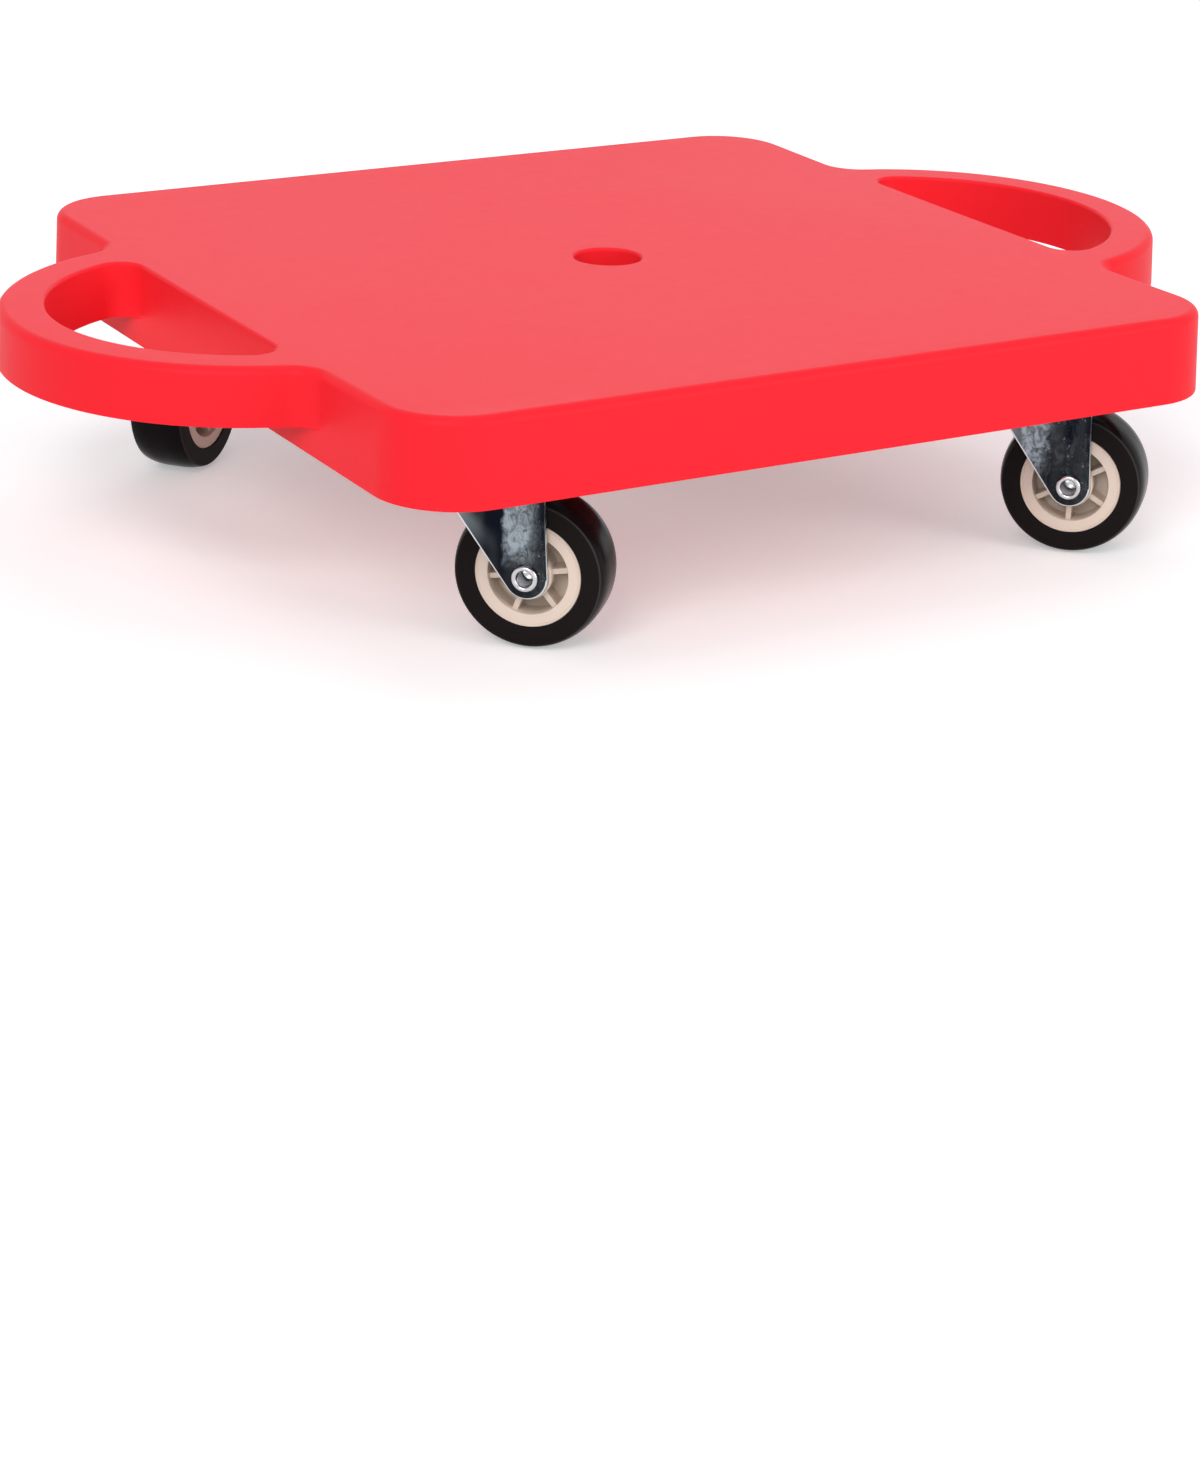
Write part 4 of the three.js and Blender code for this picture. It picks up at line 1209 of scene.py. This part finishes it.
def make_forks(context):
    """The fork: a folded sheet cut to its side view, joined to a round crown with a rolled rim."""
    scene = context.scene
    caster, wheel = scene.caster_sizes, scene.wheel_sizes
    _, _, _, crown_top, crown_bottom = heights(scene)
    swivel, spin = (JOINTS[f"{kind}_{CASTERS[0]}"]["pos_m"] for kind in ("swivel", "wheel_spin"))
    trail = math.hypot(spin[0] - swivel[0], spin[1] - swivel[1])
    axle_z = wheel.radius
    reach_x, reach_z = -caster.lead - trail, crown_top - axle_z
    slant = math.atan2(reach_z, reach_x) + math.acos(caster.leg_end / math.hypot(reach_x, reach_z))
    tangent = math.degrees(slant)
    half = caster.inner / 2 + caster.sheet
    # Side view, drawn flat with its height along Y, then stood up and thickened across the fork. Its
    # corners, and those of the end view, have a radius too small to see
    point = 0.01 * MM
    side_arcs = [
        arc(trail + caster.leg_trail - point, crown_top - point, point, 0, 90, 1),
        arc(-caster.lead + point, crown_top - point, point, 90, tangent, 1),
        arc(trail, axle_z, caster.leg_end, tangent, 360, 36),
    ]
    side = tower("side_view", side_arcs, [(0, -half - OVERRUN), (0, half + OVERRUN)])
    moved(side, Matrix.Rotation(QUARTER_TURN, 4, "X"))
    # End view: an upside-down U with bent shoulders, drawn flat with its height along Y
    inner, bend = caster.inner / 2, caster.bend
    inside = bend - caster.sheet
    foot = axle_z - caster.leg_end - OVERRUN
    end_arcs = [
        arc(half - point, foot + point, point, -90, 0, 1),
        arc(half - bend, crown_top - bend, bend, 0, 90, 10),
        arc(-half + bend, crown_top - bend, bend, 90, 180, 10),
        arc(-half + point, foot + point, point, 180, 270, 1),
        arc(-inner - point, foot + point, point, 270, 360, 1),
        arc(-inner + inside, crown_top - bend, inside, 180, 90, 10),
        arc(inner - inside, crown_top - bend, inside, 90, 0, 10),
        arc(inner + point, foot + point, point, 180, 270, 1),
    ]
    fork = tower("end_view", end_arcs, [(0, -caster.lead - OVERRUN), (0, trail + caster.leg_end + OVERRUN)])
    moved(fork, Matrix(((0, 0, 1, 0), (1, 0, 0, 0), (0, 1, 0, 0), (0, 0, 0, 1))))
    combine(fork, side, "INTERSECT")
    tidy_mesh(fork, 5 * point)

    def on_leg(edge):
        """Whether an edge lies on the outer face of a leg, below the bend."""
        places = [vertex.co for vertex in edge.verts]
        return all(abs(p.y) > half - WELD and p.z < crown_top - bend + WELD for p in places)

    round_edges(fork, caster.edge, 3, math.radians(40), on_leg, clamp=False)
    rim, rim_inside, rim_top = caster.crown, caster.crown - caster.rim_wall, crown_top + caster.rim_height
    profile = [(0, crown_bottom), (rim - caster.sheet, crown_bottom), (rim, crown_top), (rim, rim_top)]
    profile += [(rim_inside, rim_top), (rim_inside, crown_top), (0, crown_top)]
    crown = turned("crown", profile, ROUND["hub"], [(0.5 * MM, 3, (3, 4)), (0.8 * MM, 4, (1, 2))])
    combine(fork, crown, "UNION")
    hole = rod("hole", caster.pin + caster.gap, crown_bottom - OVERRUN, crown_top + OVERRUN, ROUND["pin"])
    combine(fork, hole, "DIFFERENCE")
    across = rod("hole", caster.axle + caster.gap, -half - OVERRUN, half + OVERRUN, ROUND["pin"])
    moved(across, Matrix.Translation((trail, 0, axle_z)) @ Matrix.Rotation(QUARTER_TURN, 4, "X"))
    combine(fork, across, "DIFFERENCE")
    smooth(fork, math.radians(35))
    shape = (caster, (trail, axle_z), slant, crown_top - bend)
    finishes = {name: fork_steel(scene.board_finishes, name, *shape) for name in CASTERS}
    copies(fork, "folded_fork", finishes, "swivel", fork_place)


def make_axles(context):
    """A hollow rivet: a domed head at one end, a rolled lip round a bore at the other."""
    scene = context.scene
    caster = scene.caster_sizes
    seat = caster.inner / 2 + caster.sheet + caster.gap
    lip, bore = caster.axle_lip, caster.bore
    lip_end = seat + caster.axle_lip_length
    head, height = caster.axle_head, caster.axle_head_height
    ball = (head ** 2 + height ** 2) / (2 * height)
    dome_steps, roll_steps = 9, 10
    dome = []
    for i in range(dome_steps + 1):
        angle = math.asin(head / ball) * i / dome_steps
        dome.append((ball * math.sin(angle), -seat - height + ball * (1 - math.cos(angle))))
    half_lip = (lip - bore) / 2
    middle, turn_z = bore + half_lip, lip_end - half_lip
    roll = []
    for i in range(roll_steps + 1):
        angle = math.pi * i / roll_steps
        roll.append((middle + half_lip * math.cos(angle), turn_z + half_lip * math.sin(angle)))
    bottom = seat - caster.bore_depth
    profile = [*dome, (caster.axle, -seat), (caster.axle, seat), (lip, seat), *roll]
    profile += [(bore, bottom), (0, bottom - caster.bore_point)]
    axle = turned("axle", profile, ROUND["ring"])
    smooth(axle)
    finish = plated_steel("rivet_steel", scene.board_finishes.rivet, 0.14)
    copies(axle, "hollow_rivet", finish, "swivel", axle_place)


def make_bushes(context):
    """The tube round the axle that the hub runs on."""
    scene = context.scene
    caster = scene.caster_sizes
    near = caster.axle + caster.gap
    far, half = near + caster.bush_wall, caster.inner / 2 - caster.gap
    bush = turned("bush", sleeve(near, far, -half, half), ROUND["pin"], [(0.25 * MM, 2, range(4))])
    smooth(bush)
    finish = plated_steel("bush_steel", rgba(scene.board_finishes.zinc, 0.9), 0.3)
    copies(bush, "steel_bush", finish, "swivel", axle_place)


def make_hubs(context):
    """A hub with a flat rim, a web, a boss, spokes on both faces and a bead that keys the tyre."""
    scene = context.scene
    caster, wheel = scene.caster_sizes, scene.wheel_sizes
    bore = caster.axle + 2 * caster.gap + caster.bush_wall
    boss = bore + wheel.boss
    boss_half, half = caster.inner / 2 - wheel.end_gap, wheel.hub_width / 2
    rim = wheel.hub - wheel.rim
    line, line_half = wheel.hub - wheel.ring_line, wheel.ring_line_width / 2
    edge, key, key_half = wheel.hub, wheel.hub + wheel.key_height, wheel.key_width / 2
    face = [(bore, boss_half), (boss, boss_half), (boss, wheel.web / 2), (rim, wheel.web / 2), (rim, half)]
    face += [(line - line_half, half), (line, half - line_half), (line + line_half, half)]
    face += [(edge, half), (edge, key_half), (key, key_half)]
    back = [(radius, -z) for radius, z in face]
    profile = [*back, *face[::-1], back[0]]
    last = len(profile) - 2
    rounded = (0, 1, 4, 8, last - 8, last - 4, last - 1, last)
    filleted = (2, 3, last - 3, last - 2)
    hub = turned("hub", profile, ROUND["hub"], [(wheel.edge, 3, rounded), (wheel.fillet, 3, filleted)])
    spoke_half = half - wheel.spoke_inset
    start, end = bore + wheel.boss / 2, rim + wheel.rim / 2
    width = wheel.spoke / 2

    def lengthwise(edge):
        """Whether an edge runs along its spoke."""
        here, there = (vertex.co for vertex in edge.verts)
        return abs(here.y - there.y) < WELD and abs(here.z - there.z) < WELD

    spokes = []
    for i in range(wheel.spokes):
        spoke = bar("spoke", (start, -width, -spoke_half), (end, width, spoke_half))
        round_edges(spoke, wheel.edge, 3, test=lengthwise)
        spokes.append(moved(spoke, Matrix.Rotation(2 * math.pi * i / wheel.spokes, 4, "Z")))
    combine(hub, joined("spokes", spokes), "UNION")
    smooth(hub)
    finish = cream_plastic(scene.board_finishes)
    copies(hub, "moulded_hub", finish, "wheel", wheel_place)


# Steps from the tread's edge to its middle, and the power that its height falls off by
TREAD_STEPS = 16
TREAD_POWER = 3.3


def make_tyres(context):
    """A crowned tyre with a groove inside for the hub's bead."""
    scene = context.scene
    wheel = scene.wheel_sizes
    half = wheel.width / 2
    inner = wheel.hub + wheel.tyre_gap
    groove = inner + wheel.key_height
    groove_half = wheel.key_width / 2 + wheel.tyre_gap
    tread = []
    for i in range(2 * TREAD_STEPS + 1):
        across = 1 - i / TREAD_STEPS
        tread.append((wheel.radius - wheel.crown * abs(across) ** TREAD_POWER, -half * across))
    profile = [(inner, -half), *tread, (inner, half), (inner, groove_half), (groove, groove_half)]
    profile += [(groove, -groove_half), (inner, -groove_half), (inner, -half)]
    last = len(tread)
    roundings = [(wheel.tread_edge, 3, (1, last)), (0.25 * MM, 2, (0, last + 1))]
    tyre = turned("tyre", profile, ROUND["tyre"], roundings)
    smooth(tyre)
    finish = black_tyre(scene.board_finishes, wheel)
    copies(tyre, "smooth_tyre", finish, "wheel", wheel_place)


# The stage


def lamp(name, place, aim, size, power, tint=(1.0, 1.0, 1.0)):
    """A soft square lamp that faces a point."""
    data = bpy.data.lights.new(name, "AREA")
    data.size = size
    data.energy = power
    data.color = tint
    light = bpy.data.objects.new(name, data)
    light.location = place
    light.rotation_euler = (Vector(aim) - Vector(place)).to_track_quat("-Z", "Y").to_euler()
    bpy.context.scene.collection.objects.link(light)


def make_stage(context):
    """A pale floor and world that show white, four soft lamps and the camera."""
    scene = context.scene
    stage = scene.stage_settings
    bpy.ops.object.select_all(action="DESELECT")
    bpy.ops.mesh.primitive_plane_add(size=stage.floor_size, location=(0, 0, 0))
    floor = bpy.context.object
    floor.name = "floor"
    finish = Finish("pale_floor", Roughness=0.9, IOR=1.2)
    place = finish.place()
    tone = finish.noise(place, 3.0, 2.0)
    finish.feed("Base Color", finish.blend(tone * 0.3, rgba(stage.floor), rgba(stage.floor, 0.98)))
    x, y, _ = finish.axes(place)
    away = finish.fade(x * x + y * y, stage.lit_near ** 2, stage.lit_far ** 2)
    lift = finish.blend(away, rgba([stage.glow] * 3), rgba([stage.far_glow] * 3))
    finish.feed("Emission Color", finish.blend(finish.seen(), (0.0, 0.0, 0.0, 1.0), lift))
    finish.feed("Emission Strength", 1.0)
    floor.data.materials.append(finish.material)
    world = bpy.data.worlds.new("studio")
    scene.world = world
    sky = Tree(world)
    background = sky.nodes["Background"].inputs
    sky.plug(background["Color"], sky.blend(sky.seen(), rgba(stage.sky, stage.world), (1.0, 1.0, 1.0, 1.0)))
    sky.plug(background["Strength"], 1.0)
    lamp("key_lamp", (-2.1, -1.9, 1.9), (0, 0, 0.05), 1.6, stage.key, (1.0, 0.98, 0.95))
    lamp("fill_lamp", (1.3, -2.3, 0.85), (0, 0, 0.05), 1.4, stage.fill, (1.0, 0.98, 0.97))
    lamp("top_lamp", (0.2, 0.3, 2.4), (0, 0, 0.08), 1.6, stage.top)
    lamp("back_lamp", (1.2, 2.1, 0.85), (0, 0, 0.08), 2.0, stage.back, (0.78, 0.82, 1.0))
    data = bpy.data.cameras.new("camera")
    data.lens = stage.lens
    data.sensor_width = 36
    data.clip_start = 0.01
    camera = bpy.data.objects.new("camera", data)
    camera.location = stage.place
    camera.rotation_euler = stage.turn
    scene.collection.objects.link(camera)
    scene.camera = camera
    scene.view_settings.view_transform = "Standard"


# Operators, panel and registering


class BOARD_OT_deck(bpy.types.Operator):
    """The moulded deck with its handles, ribs and caster pads."""

    bl_idname = "board.deck"
    bl_label = "Make deck"

    def execute(self, context):
        make_deck(context)
        return {"FINISHED"}


class BOARD_OT_plates(bpy.types.Operator):
    """The pressed mounting plates."""

    bl_idname = "board.plates"
    bl_label = "Make plates"

    def execute(self, context):
        make_plates(context)
        return {"FINISHED"}


class BOARD_OT_screws(bpy.types.Operator):
    """The screws that hold the plates."""

    bl_idname = "board.screws"
    bl_label = "Make screws"

    def execute(self, context):
        make_screws(context)
        return {"FINISHED"}


class BOARD_OT_pins(bpy.types.Operator):
    """The rivets that tie the forks to the plates."""

    bl_idname = "board.pins"
    bl_label = "Make king pins"

    def execute(self, context):
        make_pins(context)
        return {"FINISHED"}


class BOARD_OT_cages(bpy.types.Operator):
    """The balls and their cages."""

    bl_idname = "board.cages"
    bl_label = "Make ball cages"

    def execute(self, context):
        make_cages(context)
        return {"FINISHED"}


class BOARD_OT_forks(bpy.types.Operator):
    """The folded steel forks."""

    bl_idname = "board.forks"
    bl_label = "Make forks"

    def execute(self, context):
        make_forks(context)
        return {"FINISHED"}


class BOARD_OT_axles(bpy.types.Operator):
    """The hollow rivets that carry the wheels."""

    bl_idname = "board.axles"
    bl_label = "Make axles"

    def execute(self, context):
        make_axles(context)
        return {"FINISHED"}


class BOARD_OT_bushes(bpy.types.Operator):
    """The bushes round the axles."""

    bl_idname = "board.bushes"
    bl_label = "Make bushes"

    def execute(self, context):
        make_bushes(context)
        return {"FINISHED"}


class BOARD_OT_hubs(bpy.types.Operator):
    """The spoked plastic hubs."""

    bl_idname = "board.hubs"
    bl_label = "Make hubs"

    def execute(self, context):
        make_hubs(context)
        return {"FINISHED"}


class BOARD_OT_tyres(bpy.types.Operator):
    """The smooth black tyres."""

    bl_idname = "board.tyres"
    bl_label = "Make tyres"

    def execute(self, context):
        make_tyres(context)
        return {"FINISHED"}


class BOARD_OT_stage(bpy.types.Operator):
    """The floor, the lamps and the camera."""

    bl_idname = "board.stage"
    bl_label = "Set the stage"

    def execute(self, context):
        make_stage(context)
        return {"FINISHED"}


STEPS = (
    BOARD_OT_deck,
    BOARD_OT_plates,
    BOARD_OT_screws,
    BOARD_OT_pins,
    BOARD_OT_cages,
    BOARD_OT_forks,
    BOARD_OT_axles,
    BOARD_OT_bushes,
    BOARD_OT_hubs,
    BOARD_OT_tyres,
    BOARD_OT_stage,
)


class BOARD_PT_parts(bpy.types.Panel):
    """Lists the steps that make the scooter board."""

    bl_idname = "BOARD_PT_parts"
    bl_label = "Scooter board"
    bl_space_type = "VIEW_3D"
    bl_region_type = "UI"
    bl_category = "Scooter board"

    def draw(self, context):
        for step in STEPS:
            self.layout.operator(step.bl_idname)


GROUPS = {
    "deck_sizes": DeckSizes,
    "caster_sizes": CasterSizes,
    "wheel_sizes": WheelSizes,
    "board_finishes": BoardFinishes,
    "stage_settings": StageSettings,
}


def register():
    for label, group in GROUPS.items():
        bpy.utils.register_class(group)
        setattr(bpy.types.Scene, label, PointerProperty(type=group))
    for step in STEPS:
        bpy.utils.register_class(step)
    bpy.utils.register_class(BOARD_PT_parts)


def unregister():
    bpy.utils.unregister_class(BOARD_PT_parts)
    for step in reversed(STEPS):
        bpy.utils.unregister_class(step)
    for label, group in reversed(GROUPS.items()):
        delattr(bpy.types.Scene, label)
        bpy.utils.unregister_class(group)


def main():
    register()
    for step in STEPS:
        getattr(bpy.ops.board, step.bl_idname.split(".")[1])()


if __name__ == "__main__":
    main()
